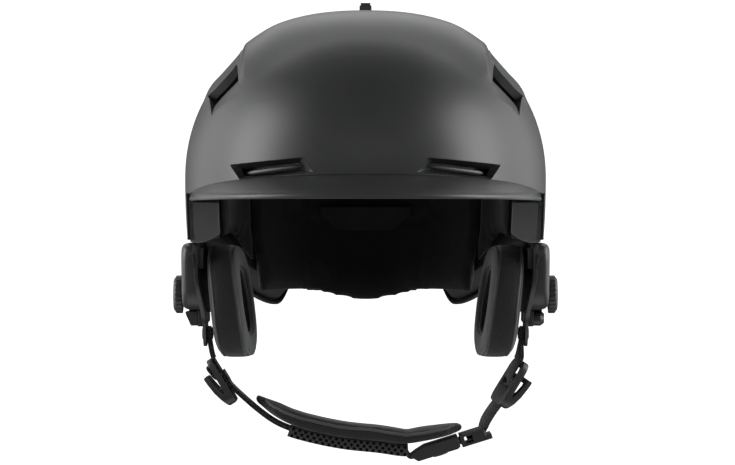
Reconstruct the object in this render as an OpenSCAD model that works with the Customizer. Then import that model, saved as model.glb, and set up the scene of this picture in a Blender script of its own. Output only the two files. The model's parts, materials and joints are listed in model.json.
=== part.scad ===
// Ski and snowboard helmet: hard shell, foam liner, comfort pads, fit dial, ear pads with
// control pods, crown vent slider, goggle strap clip and a buckled chin strap.
// Millimetres. +Z is up, the face looks along -Y and +X is the wearer's left.
// The origin is where the top of the head meets the crown pad.

/* [Shell] */
// Outer width of the shell over the ears
shell_w = 218; // [210:1:224]
// Outer length of the shell, forehead to back
shell_l = 271; // [262:1:280]
// Height of the shell's top above its widest line
dome_h = 101; // [97:1:105]
// Height of the shell's top above the top of the head
crown_h = 31; // [30:0.5:33]
// Wall of the outer shell
shell_t = 2.6; // [2.2:0.1:3]
// Thickness of the foam liner
foam_t = 20; // [18:0.5:21]
// Thickness of the comfort pads
pad_t = 6.2; // [5:0.2:7]
// Thickness of the fit band that runs between foam and pads
band_t = 1.2; // [1:0.1:1.5]
// How much thinner the foam liner is beside the ears
side_thin = 5; // [3:0.5:6]
// Gap between layers that lie on each other
gap = 0.3; // [0.2:0.05:0.4]

/* [Brim] */
// Reach of the brim in front of the forehead
brim_reach = 18; // [12:1:22]
// Height of the brim's lip below the shell's widest line
brim_drop = 14; // [12:0.5:16]
// Height of the lip's front face
lip_h = 3; // [2.5:0.25:4]

/* [Vents] */
// Height of the raised crown above the smooth dome, at its side edges
crown_step = 5.5; // [4:0.5:6.5]
// Half width of the raised crown
crown_half = 74; // [70:1:78]
// Depth of the side scoop at its slot
scoop_depth = 6; // [4.5:0.5:7]
// Depth of the brow vent's recess
brow_depth = 6; // [5:0.5:7]
// Thickness of the vent ducts' walls
duct_t = 1.4; // [1.2:0.1:1.8]
// Width of the vent slider's knob
knob_w = 7.3; // [6:0.1:9]
// Travel of the vent slider
vent_travel = 12; // [8:1:14]

/* [Ear pads] */
// Place of the ear's centre behind the middle of the shell
ear_y = 1; // [-2:0.5:4]
// Height of the ear's centre, below the shell's widest line
ear_drop = 68; // [66:1:70]
// Lean of the ear plates, inward at the bottom
ear_lean = 10.5; // [8:0.5:12]
// Thickness of the ear plates
plate_t = 2.6; // [2.2:0.1:3]
// Length of the ear pads, front to back
ear_l = 87; // [82:1:92]
// Reach of the ear pads below the ear's centre
pad_reach = 40.4; // [38:0.2:42]
// Thickness of the ear pads at the front
ear_t = 19; // [17:0.5:21]
// Extra thickness of the ear pads behind the ear
ear_wedge = 6; // [4:0.5:8]
// Radius of the opening for the ear
ear_hole_r = 22; // [20:0.5:24]
// Radius of the speakers
speaker_r = 16; // [14:0.5:16.5]
// Thickness of the speakers
speaker_t = 5; // [4:0.5:6]

/* [Control pods] */
// How far the pods stand out past the shell's widest line
pod_out = 0.8; // [0.2:0.2:2]
// Wall of the pod covers
pod_t = 1.6; // [1.4:0.1:2]
// Radius of the control dials
dial_r = 11.5; // [10:0.5:12.5]
// Height of the control dials
dial_h = 5.2; // [4.5:0.1:6]
// Number of grip notches round a control dial
dial_notches = 24; // [16:1:30]
// Radius of the control dials' shafts
hub_r = 3; // [2.5:0.25:4]
// Travel of the dials and buttons when pressed
press_travel = 0.8; // [0.6:0.1:1]
// Radial clearance of shafts and pins in their holes
fit_gap = 0.05; // [0.03:0.01:0.08]

/* [Fit dial] */
// Radius of the fit dial at the back
fit_r = 15; // [13:0.5:16]
// Height of the fit dial
fit_h = 8; // [6:0.5:9]
// Number of teeth on the pinion
pinion_teeth = 12; // [10:2:14]
// Pitch radius of the pinion
pinion_r = 5; // [4.5:0.25:6]
// Travel of each rack
rack_travel = 8; // [6:1:9]
// Thickness of the racks
rack_t = 2; // [1.6:0.1:2.4]

/* [Goggle clip] */
// Width of the goggle clip
clip_w = 24; // [20:1:28]
// Length of the goggle clip's flap
clip_l = 40; // [34:1:44]
// Space for the goggle strap under the flap
strap_room = 5.5; // [5:0.25:6.5]

/* [Chin strap] */
// Width of the webbing
web_w = 16; // [14:0.5:18]
// Thickness of the webbing
web_t = 1.3; // [1.1:0.1:1.6]
// Length of the strap dividers
divider_l = 27; // [25:0.5:29]
// Width of the strap dividers
divider_w = 26; // [24:1:30]
// Thickness of the chin pad
chin_pad_t = 8.2; // [7:0.2:9]
// Width of the chin pad
chin_pad_w = 34; // [30:1:38]
// Length of the buckle's socket
socket_l = 27; // [24:1:29]
// Width of the buckle
buckle_w = 25; // [23:1:28]
// Thickness of the buckle
buckle_t = 7.4; // [6.5:0.1:8]
// Travel of the buckle's plug out of the socket
buckle_travel = 4; // [3:0.5:5]

/* [Hidden] */
$fn = 48;

plan_n = 2.1;                       // roundness of the plan outline
dome_n = 2.08;                      // roundness of the dome's side view
wide_z = crown_h - dome_h;          // height of the widest line
mid_y = 1.5;                        // middle of the shell's length
big = 400;                          // longer than anything cut
foam_d = shell_t + gap;             // inset of the foam's outer face
band_d = foam_d + foam_t + gap;     // inset of the fit band's outer face
pad_d = band_d + band_t + 3 * gap;  // inset of the pads' outer face
temple_az = 68;                     // azimuth where the sides' front edges lie
rim_over_ear = 31;                  // height of the sides' lower rim above the ear's centre
side_rim = rim_over_ear - ear_drop; // lower rim at the sides
lobe_rim = -76;                     // lower rim at the lobes behind the ears
nape_rim = -47;                     // lower rim over the fit dial
lobe_az = 149;                      // azimuth of the lobes
nape_az = 163;                      // azimuth where the nape's cut-out ends
shell_color = [0.16, 0.16, 0.17];
trim_color = [0.1, 0.1, 0.1];
foam_color = [0.3, 0.3, 0.32];
pad_color = [0.2, 0.2, 0.22];

// ---------- numbers and curves ----------
function clamp01(t) = min(1, max(0, t));
function ease(a, b, x) = let (t = clamp01((x - a) / (b - a))) t * t * (3 - 2 * t);
function mix(a, b, t) = a + (b - a) * t;
function unit(v) = v / norm(v);

// Plan radius at azimuth az, measured from the front towards +X, at an inset of d.
function plan_r(az, d) =
    let (a = shell_w / 2 - d, b = shell_l / 2 - d)
    pow(pow(abs(sin(az)) / a, plan_n) + pow(abs(cos(az)) / b, plan_n), -1 / plan_n);
// Inward lean of the wall at a depth below the widest line.
function tuck(az, depth) = let (a = az > 180 ? 360 - az : abs(az))
    pow(depth / 35, 2) * mix(0.012, 0.040, ease(95, 165, a));
// Latitude lat is degrees above the widest line and millimetres below it.
function share(az, lat) = lat >= 0 ? pow(cos(lat), 2 / dome_n) : 1 - tuck(az, -lat);
function level(lat, d) = wide_z + (lat >= 0 ? (dome_h - d) * pow(sin(lat), 2 / dome_n) : lat);
// The liner is thinner beside the temples and ears, and what lies inside it follows.
function side_inset(az, lat, d) = d <= foam_d ? d
    : d - side_thin * ease(35, temple_az, abs(az)) * ease(140, 105, abs(az)) * ease(45, 5, lat);
function skin(az, lat, d0) = let (d = side_inset(az, lat, d0), r = plan_r(az, d) * share(az, lat))
    [r * sin(az), mid_y - r * cos(az), level(lat, d)];
// Height of the dome over a plan point, raised by the crown's extra fullness, at inset d.
function dome_z(x, y, n, d) =
    wide_z + (dome_h - d) * pow(max(0, 1 - pow(abs(x) / (shell_w / 2 - d), n)
        - pow(abs(y - mid_y) / (shell_l / 2 - d), dome_n)), 1 / n);
// Crease between shell and brim, as a latitude.
function crease(az) = -10 * pow(abs(az) / temple_az, 2);
function rim(az) = let (a = az > 180 ? 360 - az : abs(az))
    a < temple_az ? crease(a)
    : a < lobe_az ? mix(side_rim, lobe_rim, ease(108, lobe_az, a))
    : mix(lobe_rim, nape_rim, ease(lobe_az, nape_az, a));

// ---------- solids from grids of points ----------
// Solid between two equal grids of points; wrap joins the last row to the first.
module slab(outer, inner, wrap = false) {
    ni = len(outer);
    nj = len(outer[0]);
    last = wrap ? ni - 1 : ni - 2;
    o = function(i, j) (i % ni) * nj + j;
    n = function(i, j) ni * nj + (i % ni) * nj + j;
    faces = concat(
        [for (i = [0:last], j = [0:nj - 2]) each
            [[o(i, j), o(i + 1, j), o(i + 1, j + 1)], [o(i, j), o(i + 1, j + 1), o(i, j + 1)]]],
        [for (i = [0:last], j = [0:nj - 2]) each
            [[n(i, j), n(i + 1, j + 1), n(i + 1, j)], [n(i, j), n(i, j + 1), n(i + 1, j + 1)]]],
        [for (i = [0:last]) each
            [[o(i, 0), n(i, 0), n(i + 1, 0)], [o(i, 0), n(i + 1, 0), o(i + 1, 0)]]],
        [for (i = [0:last]) each
            [[o(i, nj - 1), n(i + 1, nj - 1), n(i, nj - 1)],
             [o(i, nj - 1), o(i + 1, nj - 1), n(i + 1, nj - 1)]]],
        wrap ? [] : [for (j = [0:nj - 2]) each
            [[o(0, j), o(0, j + 1), n(0, j + 1)], [o(0, j), n(0, j + 1), n(0, j)]]],
        wrap ? [] : [for (j = [0:nj - 2]) each
            [[o(ni - 1, j), n(ni - 1, j + 1), o(ni - 1, j + 1)],
             [o(ni - 1, j), n(ni - 1, j), n(ni - 1, j + 1)]]]);
    polyhedron(concat([for (r = outer) each r], [for (r = inner) each r]), faces);
}

// Solid through a list of equal closed sections; loop joins the last to the first.
module loft(sections, loop = false) {
    n = len(sections);
    k = len(sections[0]);
    id = function(i, j) (i % n) * k + j % k;
    faces = concat(
        [for (i = [0:loop ? n - 1 : n - 2], j = [0:k - 1]) each
            [[id(i, j), id(i + 1, j + 1), id(i, j + 1)], [id(i, j), id(i + 1, j), id(i + 1, j + 1)]]],
        loop ? [] : [[for (j = [0:k - 1]) id(0, j)], [for (j = [k - 1:-1:0]) id(n - 1, j)]]);
    polyhedron([for (s = sections) each s], faces);
}

// Cap of the shell's form between insets d0 and d1, from the crown down to latitudes low(az).
module cap(d0, d1, azs, rows, low) {
    m = len(azs);
    grid = function(d) [for (j = [1:rows], az = azs) skin(az, mix(90, low(az), j / rows), d)];
    pts = concat([skin(0, 90, d0)], grid(d0), [skin(0, 90, d1)], grid(d1));
    o = function(i, j) 1 + (j - 1) * m + i % m;
    n = function(i, j) 2 + rows * m + (j - 1) * m + i % m;
    faces = concat(
        [for (i = [0:m - 1]) each [[0, o(i + 1, 1), o(i, 1)], [1 + rows * m, n(i, 1), n(i + 1, 1)]]],
        [for (i = [0:m - 1], j = [1:rows - 1]) each
            [[o(i, j), o(i + 1, j), o(i + 1, j + 1)], [o(i, j), o(i + 1, j + 1), o(i, j + 1)],
             [n(i, j), n(i + 1, j + 1), n(i + 1, j)], [n(i, j), n(i, j + 1), n(i + 1, j + 1)]]],
        [for (i = [0:m - 1]) each
            [[o(i, rows), o(i + 1, rows), n(i + 1, rows)], [o(i, rows), n(i + 1, rows), n(i, rows)]]]);
    polyhedron(pts, faces);
}

// Patch of the shell's form from az0 to az1 between latitudes top(az) and low(az).
module patch(az0, az1, n, rows, d0, d1, top, low) {
    grid = function(d) [for (i = [0:n]) let (az = mix(az0, az1, i / n))
        [for (j = [0:rows]) skin(az, mix(top(az), low(az), j / rows), d)]];
    slab(grid(d0), grid(d1));
}

// Azimuths of the cap's columns, close together where the rim drops at the temples.
half_azs = [each [0:8.5:59.5], 64, temple_az - 0.3, temple_az + 0.3, each [76:9:148], 154, 159, 164, 172];
all_azs = concat(half_azs, [180], [for (i = [len(half_azs) - 1:-1:1]) -half_azs[i]]);

// Makes one mesh of faceted solids before they are cut.
module one_mesh() { resize([0, 0, 0]) children(); }

// Mirrored copy on the wearer's right side.
module on_side(side) { if (side > 0) children(); else mirror([1, 0, 0]) children(); }

// ---------- shell ----------
// Plan corners of the side scoop: slot line inner and outer end, then the far edge.
scoop_a = [crown_half + 1.6, -36];
scoop_b = [94.6, -19];
scoop_c = [93.4, -54];
scoop_d = [crown_half - 1.5, -71];
function scoop_plan(u, v) = mix(mix(scoop_d, scoop_c, u), mix(scoop_a, scoop_b, u), v);
function dome_normal(x, y) = unit([pow(abs(x) / (shell_w / 2), dome_n - 1) / (shell_w / 2) * sign(x),
    pow(abs(y - mid_y) / (shell_l / 2), dome_n - 1) / (shell_l / 2) * sign(y - mid_y),
    pow(max(0, dome_z(x, y, dome_n, 0) - wide_z) / dome_h, dome_n - 1) / dome_h]);
function on_dome(p, h) = [p[0], p[1], dome_z(p[0], p[1], dome_n, 0)] + h * dome_normal(p[0], p[1]);
scoop_rows = 4;
// Wedge over the scoop's ramp, from height h0 over the ramp's floor up to h1 over the dome.
module scoop_wedge(h0, h1, grow = 0) {
    at = function(i, j, h) on_dome(scoop_plan(mix(1 + grow, -grow, i / scoop_rows),
        mix(-grow, 1 + grow, j / scoop_rows)), h);
    slab([for (i = [0:scoop_rows]) [for (j = [0:scoop_rows]) at(i, j, h1)]],
        [for (i = [0:scoop_rows]) [for (j = [0:scoop_rows])
            at(i, j, h0 - scoop_depth * clamp01(j / scoop_rows))]]);
}

// Outline of the brow vent in front view: x and z corners, for the wearer's left.
vent_top = wide_z + 10;
brow_outline = [[34.8, vent_top - 0.6], [28.2, wide_z + 0.8], [71.2, wide_z - 2.6], [77.2, vent_top - 4]];
module brow_prism(grow) {
    translate([0, -40, 0]) rotate([90, 0, 0]) linear_extrude(big / 3) offset(delta = grow) polygon(brow_outline);
}
// Rear outlets, in rear view.
outlet = [[26, wide_z + 62], [58, wide_z + 50], [60, wide_z + 42], [24, wide_z + 54]];
module outlet_prism(grow) {
    translate([0, 40, 0]) rotate([90, 0, 0]) mirror([0, 0, 1])
        linear_extrude(big / 3) offset(delta = grow) polygon(outlet);
}
crown_cols = 10;
// Raised crown: follows a fuller dome and fades out over the forehead.
function crown_z(x, y, d) = let (w = ease(-100, -50, y) * ease(112, 84, y))
    mix(dome_z(x, y, dome_n, d + 0.7), dome_z(x, y, dome_n + 0.055 * crown_step, d - 0.15), w);
function crown_edge(y) = crown_half - 1.5 * clamp01(-y / 71) - 16 * pow(clamp01(y / 110), 2) - 30 * ease(-71, -108, y);
module raised_crown() {
    grid = function(high) [for (i = [0:crown_cols]) let (y = mix(-104, 106, i / crown_cols))
        [for (j = [0:crown_cols]) let (x = mix(-crown_edge(y), crown_edge(y), j / crown_cols))
            [x, y, high ? crown_z(x, y, 0) : dome_z(x, y, dome_n, shell_t * 0.4)]]];
    slab(grid(true), grid(false));
}

slider_y = -8;                      // middle of the slider's knob at rest
knob_l = 12;                        // length of the knob
vent_xs = [9.5, 16];                // places of the crown vents
vent_w = 4.5;
vent_l = min(11, vent_travel - 1);
vent_y = slider_y + 14;             // front end of the crown vents
shutter_z = crown_h - shell_t - 6.6;
shutter_t = 1.2;
shutter_half = 19;
shutter_l = 42;
module crown_vents(h) {
    for (x = vent_xs, s = [1, -1]) translate([s * x - vent_w / 2, vent_y, shutter_z - 30]) cube([vent_w, vent_l, h]);
}
module outer_shell() {
    color(shell_color) one_mesh() difference() {
        union() {
            cap(0, shell_t, all_azs, 13, function(az) rim(az));
            raised_crown();
            for (side = [1, -1]) on_side(side) scoop_wedge(-shell_t, 0.2, 0.05);
        }
        for (side = [1, -1]) on_side(side) {
            scoop_wedge(0, 12);
            brow_prism(0);
            outlet_prism(0);
            // slot at the foot of the scoop's rear wall
            hull() for (p = [scoop_a, scoop_b]) translate(on_dome(p - [0, 3], -scoop_depth + 1.2))
                rotate([0, 0, 30]) cube([3, 9, 2.4], center = true);
        }
        translate([-knob_w / 2 - gap, slider_y - knob_l / 2 - gap, 0])
            cube([knob_w + 2 * gap, knob_l + vent_travel + 2 * gap, big]);
        crown_vents(big);
    }
}
module vent_slider() {
    top = crown_h + 4.6;
    low = shutter_z + shutter_t;
    color(trim_color) difference() {
        union() {
            translate([-knob_w / 2, slider_y - knob_l / 2, low]) cube([knob_w, knob_l, top - 1.6 - low]);
            translate([-knob_w / 2 + 0.7, slider_y - knob_l / 2 + 1, top - 1.6]) cube([knob_w - 1.4, knob_l - 2, 1.6]);
        }
        for (k = [-2:2]) translate([-knob_w, slider_y + 2 * k - 0.3, top - 0.7]) cube([2 * knob_w, 0.6, 1]);
    }
}
module vent_shutter() {
    color(trim_color) difference() {
        translate([-shutter_half, slider_y - 12, shutter_z]) cube([2 * shutter_half, shutter_l, shutter_t]);
        crown_vents(big);
    }
}
module vent_rail() {
    low = shutter_z - 2;
    color(trim_color) difference() {
        translate([-shutter_half - 3, slider_y - 15, low])
            cube([2 * shutter_half + 6, shutter_l + vent_travel + 6, 2.9]);
        translate([-shutter_half - gap, slider_y - 12 - gap, shutter_z - gap])
            cube([2 * (shutter_half + gap), shutter_l + vent_travel + 2 * gap, 4]);
        translate([-shutter_half + 3, slider_y - 9, low - 1])
            cube([2 * shutter_half - 6, shutter_l + vent_travel - 6, 4]);
    }
}

// ---------- brim and trims ----------
brim_cols = 20;
brim_end = temple_az - 1.6;
function brim_fade(az) = pow(cos(90 * abs(az) / (brim_end + 1)), 1.2);
function brim_section(az) =
    let (lip_z = -brim_drop, out = brim_reach * brim_fade(az), r0 = plan_r(az, 0), dir = [sin(az), -cos(az), 0],
        at = function(r, lat) [0, mid_y, wide_z + lat] + r * dir,
        c = crease(az), foot = lip_z)
    [at(r0 * share(az, c), c - 0.15), at(r0 + out * 0.62, mix(c, foot + lip_h, 0.62)),
     at(r0 + out - 0.4, foot + lip_h), at(r0 + out, foot + lip_h * 0.5), at(r0 + out - 0.8, foot),
     at(r0 - shell_t, foot + 1.2), at(r0 - shell_t - 6, foot + 1.6), at(r0 - shell_t - 6, foot + 3.6),
     at(r0 - shell_t + 0.6, foot + 3.4), at((r0 - shell_t) * share(az, c), c - 0.15)];
module brim() {
    color(shell_color) loft([for (i = [0:brim_cols]) brim_section(mix(-brim_end, brim_end, i / brim_cols))]);
}
// Front-facing end panel of the shell's side, between the brim and the ear pad.
module temple_trim(side) {
    d_in = foam_d + foam_t;
    grid = function(az) [for (i = [0:4]) let (d = mix(0, d_in, i / 4))
        [for (j = [0:4]) skin(az, mix(-brim_drop - 0.4, side_rim - 2.4 * sin(180 * i / 4) + 4 * i / 4, j / 4), d)]];
    color(shell_color) on_side(side) slab(grid(temple_az - 0.6), grid(temple_az - 1.7));
}
module edge_trim() {
    section = function(az) let (low = rim(az), hi = low - 0.3)
        [skin(az, hi, -0.4), skin(az, low - 2.2, 0), skin(az, low - 2.6, 1.6), skin(az, low - 2.2, shell_t + 1.4),
         skin(az, hi, shell_t + 1.8)];
    color(trim_color) loft([for (az = all_azs) if (az >= 112) section(az),
        for (az = all_azs) if (az <= -112) section(az + 360)]);
}

// ---------- liner ----------
ear_z = wide_z - ear_drop;
pad_top = wide_z + side_rim - 2.4;  // top of the ear pads, under the shell's rim
ear_h = pad_top - ear_z + pad_reach;
lug_x = shell_w / 2 * share(90, side_rim) - shell_t - 6.54;   // inner faces of the lugs
lug_z = wide_z + side_rim + 11;
lug_l = 8;                          // length of the lugs' feet
// outer face of the plate at the ear's centre; the plate passes over the feet of the lugs
plate_x = lug_x + lug_l + 0.9 + (ear_z - lug_z + 16) * tan(ear_lean);
lug_ys = [ear_y - 27, ear_y + 27];
fit_z = wide_z - 59;
fit_y = mid_y + shell_l / 2 - 32.8;
rack_y = fit_y + 2.6;
module foam_liner() {
    color(foam_color) one_mesh() difference() {
        cap(foam_d, foam_d + foam_t, all_azs, 13,
            function(az) abs(az) < temple_az ? max(crease(az) - 4, 4.2 - brim_drop) : rim(az) + 0.5);
        for (side = [1, -1]) on_side(side) {
            scoop_wedge(-shell_t - 4 * gap, 12, 0.08);
            brow_prism(duct_t + gap);
            outlet_prism(0.5);
            for (y = lug_ys) translate([lug_x - 2.6, y - 6.5, lug_z - 30]) cube([12, 13, 38]);
            translate([0, rack_y - 0.6, fit_z - 11.5]) cube([52, rack_t + 1.2, 23]);
            translate([-1, fit_y - 4, fit_z - 12]) cube([34.5, 12.6, 24.5]);
            translate([-1, fit_y - 4, fit_z - 12]) cube([13.5, 12.5, 31]);
            translate([0, fit_y, fit_z]) rotate([-90, 0, 0]) cylinder(r = fit_r + 1, h = 40);
        }
        translate([-shutter_half - 3 - gap, slider_y - 15 - gap, shutter_z - 2 - gap])
            cube([2 * (shutter_half + 3 + gap), shutter_l + vent_travel + 6 + 2 * gap, 20]);
        crown_vents(big);
    }
}
pad_in = pad_d + pad_t;
module pad_patch(az0, az1, n, rows, top, low) {
    color(pad_color) patch(az0, az1, n, rows, pad_d, pad_in, top, low);
}
module brow_pad() {
    color(pad_color) patch(-51, 51, 12, 3, band_d + 0.1, pad_in, function(az) 10, function(az) crease(az) - 7);
}
module rear_pad() {
    pad_patch(128, 232, 14, 6, function(az) 8,
        function(az) let (a = abs(az - 180)) -72 + 6.5 * sin(clamp01(a / 50) * 180) - 2.5 * ease(20, 40, a));
}
module side_pad(side) { on_side(side) pad_patch(73, 125, 8, 4, function(az) 6, function(az) rim(az) + 1.5); }
module crown_pad() {
    color(pad_color) cap(band_d + 0.35, crown_h, [for (i = [0:23]) 15 * i], 3, function(az) 62);
}
module inner_patch() {
    grid = function(d) [for (i = [0:6]) let (az = mix(163, 197, i / 6), w = abs(az - 180) / 17)
        [for (j = [0:2]) skin(az, mix(-16, mix(-31, -22, ease(0.55, 1, w)), j / 2), d)]];
    color(trim_color) slab(grid(pad_in + 2 * gap), grid(pad_in + 2 * gap + 0.8));
}
module fit_band() {
    mid = function(az) mix(-59, -22, ease(152, 104, az));
    color(trim_color) for (side = [1, -1]) on_side(side)
        patch(85, 148, 7, 2, band_d + 0.2, band_d + band_t + 0.2, function(az) mid(az) + 6, function(az) mid(az) - 6);
}

// ---------- vent inserts ----------
// Layer of the shell's form over a front-view outline.
module brow_layer(d0, d1) { patch(10, 46, 8, 3, d0, d1, function(az) 13, function(az) -9); }
// Capsule between two points of the brow vent's front view, of diameter d.
module brow_capsule(p, q, d) {
    translate([0, -40, 0]) rotate([90, 0, 0]) linear_extrude(big / 3) hull() for (c = [p, q])
        translate([c[0], wide_z + c[1]]) circle(d = d, $fn = 12);
}
module brow_vent(side) {
    color(trim_color) one_mesh() on_side(side) difference() {
        union() {
            difference() {
                intersection() { brow_layer(0.6, shell_t + brow_depth + 2); brow_prism(duct_t); }
                intersection() { brow_layer(-4, shell_t + brow_depth); brow_prism(-0.01); }
                brow_capsule([38.5, 8], [74, 4.2], 1.6);
            }
            intersection() { brow_layer(shell_t + 2.5, shell_t + brow_depth + 1); brow_capsule([36, 4.6], [69, 1.2], 3.4); }
        }
        difference() { brow_layer(-6, shell_t + 3 * gap); brow_prism(-0.03); }
    }
}
module rear_vent_mesh() {
    color(trim_color) one_mesh() for (side = [1, -1]) on_side(side) difference() {
        intersection() {
            patch(146, 172, 6, 3, shell_t + 1.3, shell_t + 2.5, function(az) 50, function(az) 18);
            outlet_prism(0.3);
        }
        intersection() {
            for (k = [0:5]) translate([18 + 5.6 * k, 0, wide_z + 30]) rotate([0, 20, 0]) cube([3, big, 40]);
            outlet_prism(-2);
        }
    }
}

// ---------- fit dial ----------
module fit_housing() {
    color(trim_color) difference() {
        union() {
            translate([-33, fit_y, fit_z - 11]) cube([66, 8.2, 22]);
            translate([-12, fit_y + 5.2, fit_z]) cube([24, 3, 18.5]);
        }
        for (s = [1, -1]) translate([-40, rack_y - gap, fit_z + s * (pinion_r + 2.7) - 3.6]) cube([80, rack_t + 2 * gap, 7.2]);
        translate([0, rack_y - 0.3, fit_z]) rotate([-90, 0, 0]) cylinder(r = pinion_r + 1.3, h = rack_t + 0.6);
        translate([0, fit_y - 1, fit_z]) rotate([-90, 0, 0]) cylinder(r = hub_r + fit_gap, h = 20);
    }
}
module fit_dial() {
    color(trim_color) translate([0, fit_y + 8.5, fit_z]) rotate([-90, 0, 0]) difference() {
        union() {
            cylinder(r = fit_r, h = fit_h - 1.5);
            translate([0, 0, fit_h - 1.5]) cylinder(r1 = fit_r, r2 = fit_r - 2, h = 1.5);
        }
        for (k = [0:19]) rotate([0, 0, 18 * k]) translate([fit_r + 0.6, 0, -1]) cylinder(r = 1.4, h = fit_h + 2);
        translate([0, 0, fit_h - 1]) cylinder(r = fit_r - 5, h = 2);
        translate([0, 0, -1]) cylinder(r = hub_r, h = 5);
    }
}
tooth = 2 * PI * pinion_r / pinion_teeth;
module fit_pinion() {
    color(trim_color) translate([0, rack_y, fit_z]) rotate([-90, 0, 0]) {
        linear_extrude(rack_t) for (k = [0:pinion_teeth - 1]) rotate(90 + 360 * k / pinion_teeth)
            polygon([[0, -0.9], [pinion_r, -tooth * 0.2], [pinion_r + 0.8, -tooth * 0.09],
                [pinion_r + 0.8, tooth * 0.09], [pinion_r, tooth * 0.2], [0, 0.9]]);
        translate([0, 0, 1.4 - rack_t - 1.6]) cylinder(r = hub_r, h = fit_y + 8.5 + 4 - rack_y + 1.8);
    }
}
// side 1 is the upper rack, which pulls the wearer's left half of the band.
module fit_rack(side) {
    teeth = ceil((rack_travel + 10) / tooth);
    color(trim_color) translate([0, rack_y, fit_z]) rotate([0, side > 0 ? 0 : 180, 0]) rotate([-90, 0, 0]) mirror([0, 1, 0])
        linear_extrude(rack_t) union() {
            translate([-8, pinion_r + 0.9]) square([54 - rack_travel, 5]);
            for (k = [-3:teeth]) if (tooth * (k + 0.5) < 40) translate([tooth * (k + 0.5), pinion_r + 0.9])
                polygon([[-tooth * 0.28, 0], [-tooth * 0.1, -1.5], [tooth * 0.1, -1.5], [tooth * 0.28, 0]]);
        }
}

// ---------- goggle clip ----------
clip_lat = 4;
clip_y = skin(180, clip_lat, 0)[1];
clip_z = level(clip_lat, 0);
clip_lean = 5;                      // lean of the clip, along the shell's wall
strip_t = 3;                        // strip's outer face from the clip's foot
pin_y = clip_y + strap_room + strip_t + 0.5;
module on_clip() { translate([0, clip_y, clip_z]) rotate([-clip_lean, 0, 0]) translate([0, -clip_y, -clip_z]) children(); }
module goggle_clip_base() {
    color(trim_color) difference() {
        on_clip() union() {
            translate([-clip_w / 2 - 3, clip_y - 8, clip_z - 6]) cube([clip_w + 6, 8 + strip_t, 12]);
            for (s = [1, -1]) translate([s * (clip_w / 2 + 1.8) - 1.2, clip_y, clip_z - 4]) {
                cube([2.4, pin_y - clip_y, 8]);
                translate([0, pin_y - clip_y, 4]) rotate([0, 90, 0]) cylinder(r = 4, h = 2.4);
            }
            translate([-5, clip_y - 8, clip_z - clip_l]) cube([10, 8 + strip_t, clip_l]);
            translate([0, clip_y, clip_z - clip_l + 5]) rotate([-90, 0, 0]) cylinder(r = 4, h = pin_y - clip_y - gap);
        }
        patch(160, 200, 8, 8, -gap, 30, function(az) 14, function(az) -50);
        on_clip() translate([-clip_w, pin_y, clip_z]) rotate([0, 90, 0]) cylinder(r = 1.5, h = 2 * clip_w);
    }
}
module goggle_clip_flap() {
    color(trim_color) on_clip() difference() {
        union() {
            translate([-clip_w / 2, pin_y, clip_z]) rotate([0, 90, 0]) cylinder(r = 3, h = clip_w);
            translate([-clip_w / 2, pin_y, clip_z - clip_l + 6]) cube([clip_w, 3, clip_l - 6]);
            translate([0, pin_y, clip_z - clip_l + 6]) rotate([-90, 0, 0]) cylinder(r = clip_w / 2, h = 3);
        }
        translate([-clip_w, pin_y, clip_z]) rotate([0, 90, 0]) cylinder(r = 1.5 + fit_gap, h = 2 * clip_w);
        translate([0, pin_y - 1, clip_z - clip_l + 5]) rotate([-90, 0, 0]) cylinder(r = 2, h = 6);
    }
}
module goggle_clip_pin() {
    color("silver") on_clip() translate([-clip_w / 2 - 4, pin_y, clip_z]) rotate([0, 90, 0]) cylinder(r = 1.5, h = clip_w + 8);
}

// ---------- ear assemblies, built for the wearer's left ----------
// Frame of the plate: x out of its outer face, y back, z up from the ear's centre.
module on_plate() { translate([plate_x, ear_y, ear_z]) rotate([0, ear_lean, 0]) children(); }
pivot_z = ear_z - 25.5;                                // height of the strap rivets
pivot_x = plate_x - 17 * tan(ear_lean);                // outer face of the plate's upright strap tab
plate_top = pad_top + 1.6 - ear_z;
plate_half = 39;                    // half length of the ear plates
pod_low = -11;                      // bottom of the pods below the ear's centre
pod_x = shell_w / 2 + pod_out;      // outer faces of the pods
pod_in = shell_w / 2 - 19;          // inner ends of the pods' walls
boss_spots = [[-30, -4], [30, -4], [0, plate_top - 8]];
module plate_outline() {
    hull() {
        for (s = [1, -1]) translate([s * (plate_half - 7), plate_top - 7]) circle(r = 7);
        for (s = [1, -1]) translate([s * (plate_half - 19), -2]) circle(r = 17);
    }
}
module ear_plate(side) {
    color(trim_color) on_side(side) difference() {
        union() {
            on_plate() translate([-plate_t, 0, 0]) rotate([90, 0, 90]) linear_extrude(plate_t) plate_outline();
            for (y = lug_ys) translate([lug_x, y - 5.5, lug_z - 17]) {
                cube([3.4, 11, 23]);
                cube([lug_l, 11, 3]);
            }
            translate([pivot_x - plate_t, ear_y, 0]) rotate([90, 0, 90]) linear_extrude(plate_t) hull() {
                translate([0, pivot_z]) circle(r = 8);
                translate([0, ear_z - 15]) square([36, 1], center = true);
            }
            on_plate() for (p = boss_spots) translate([-plate_t - 4, p[0], p[1]]) rotate([0, 90, 0]) cylinder(r = 3.5, h = 5);
        }
        for (y = lug_ys) translate([lug_x - 5, y, lug_z]) rotate([0, 90, 0]) cylinder(r = 2 + fit_gap, h = 12);
        translate([pivot_x - 20, ear_y, pivot_z]) rotate([0, 90, 0]) cylinder(r = 2.5, h = 40);
        translate([0, ear_y, ear_z - 2]) rotate([0, 90, 0]) cylinder(r = hub_r + fit_gap, h = big);
        translate([0, ear_y, button_z]) rotate([0, 90, 0]) cylinder(r = 2 + fit_gap, h = big);
    }
}
module ear_screws() {
    color("silver") for (side = [1, -1], y = lug_ys) on_side(side) translate([lug_x - 1.4, y, lug_z])
        rotate([0, 90, 0]) { cylinder(r = 3.5, h = 1.4); cylinder(r = 2, h = 5.5); }
}
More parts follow.
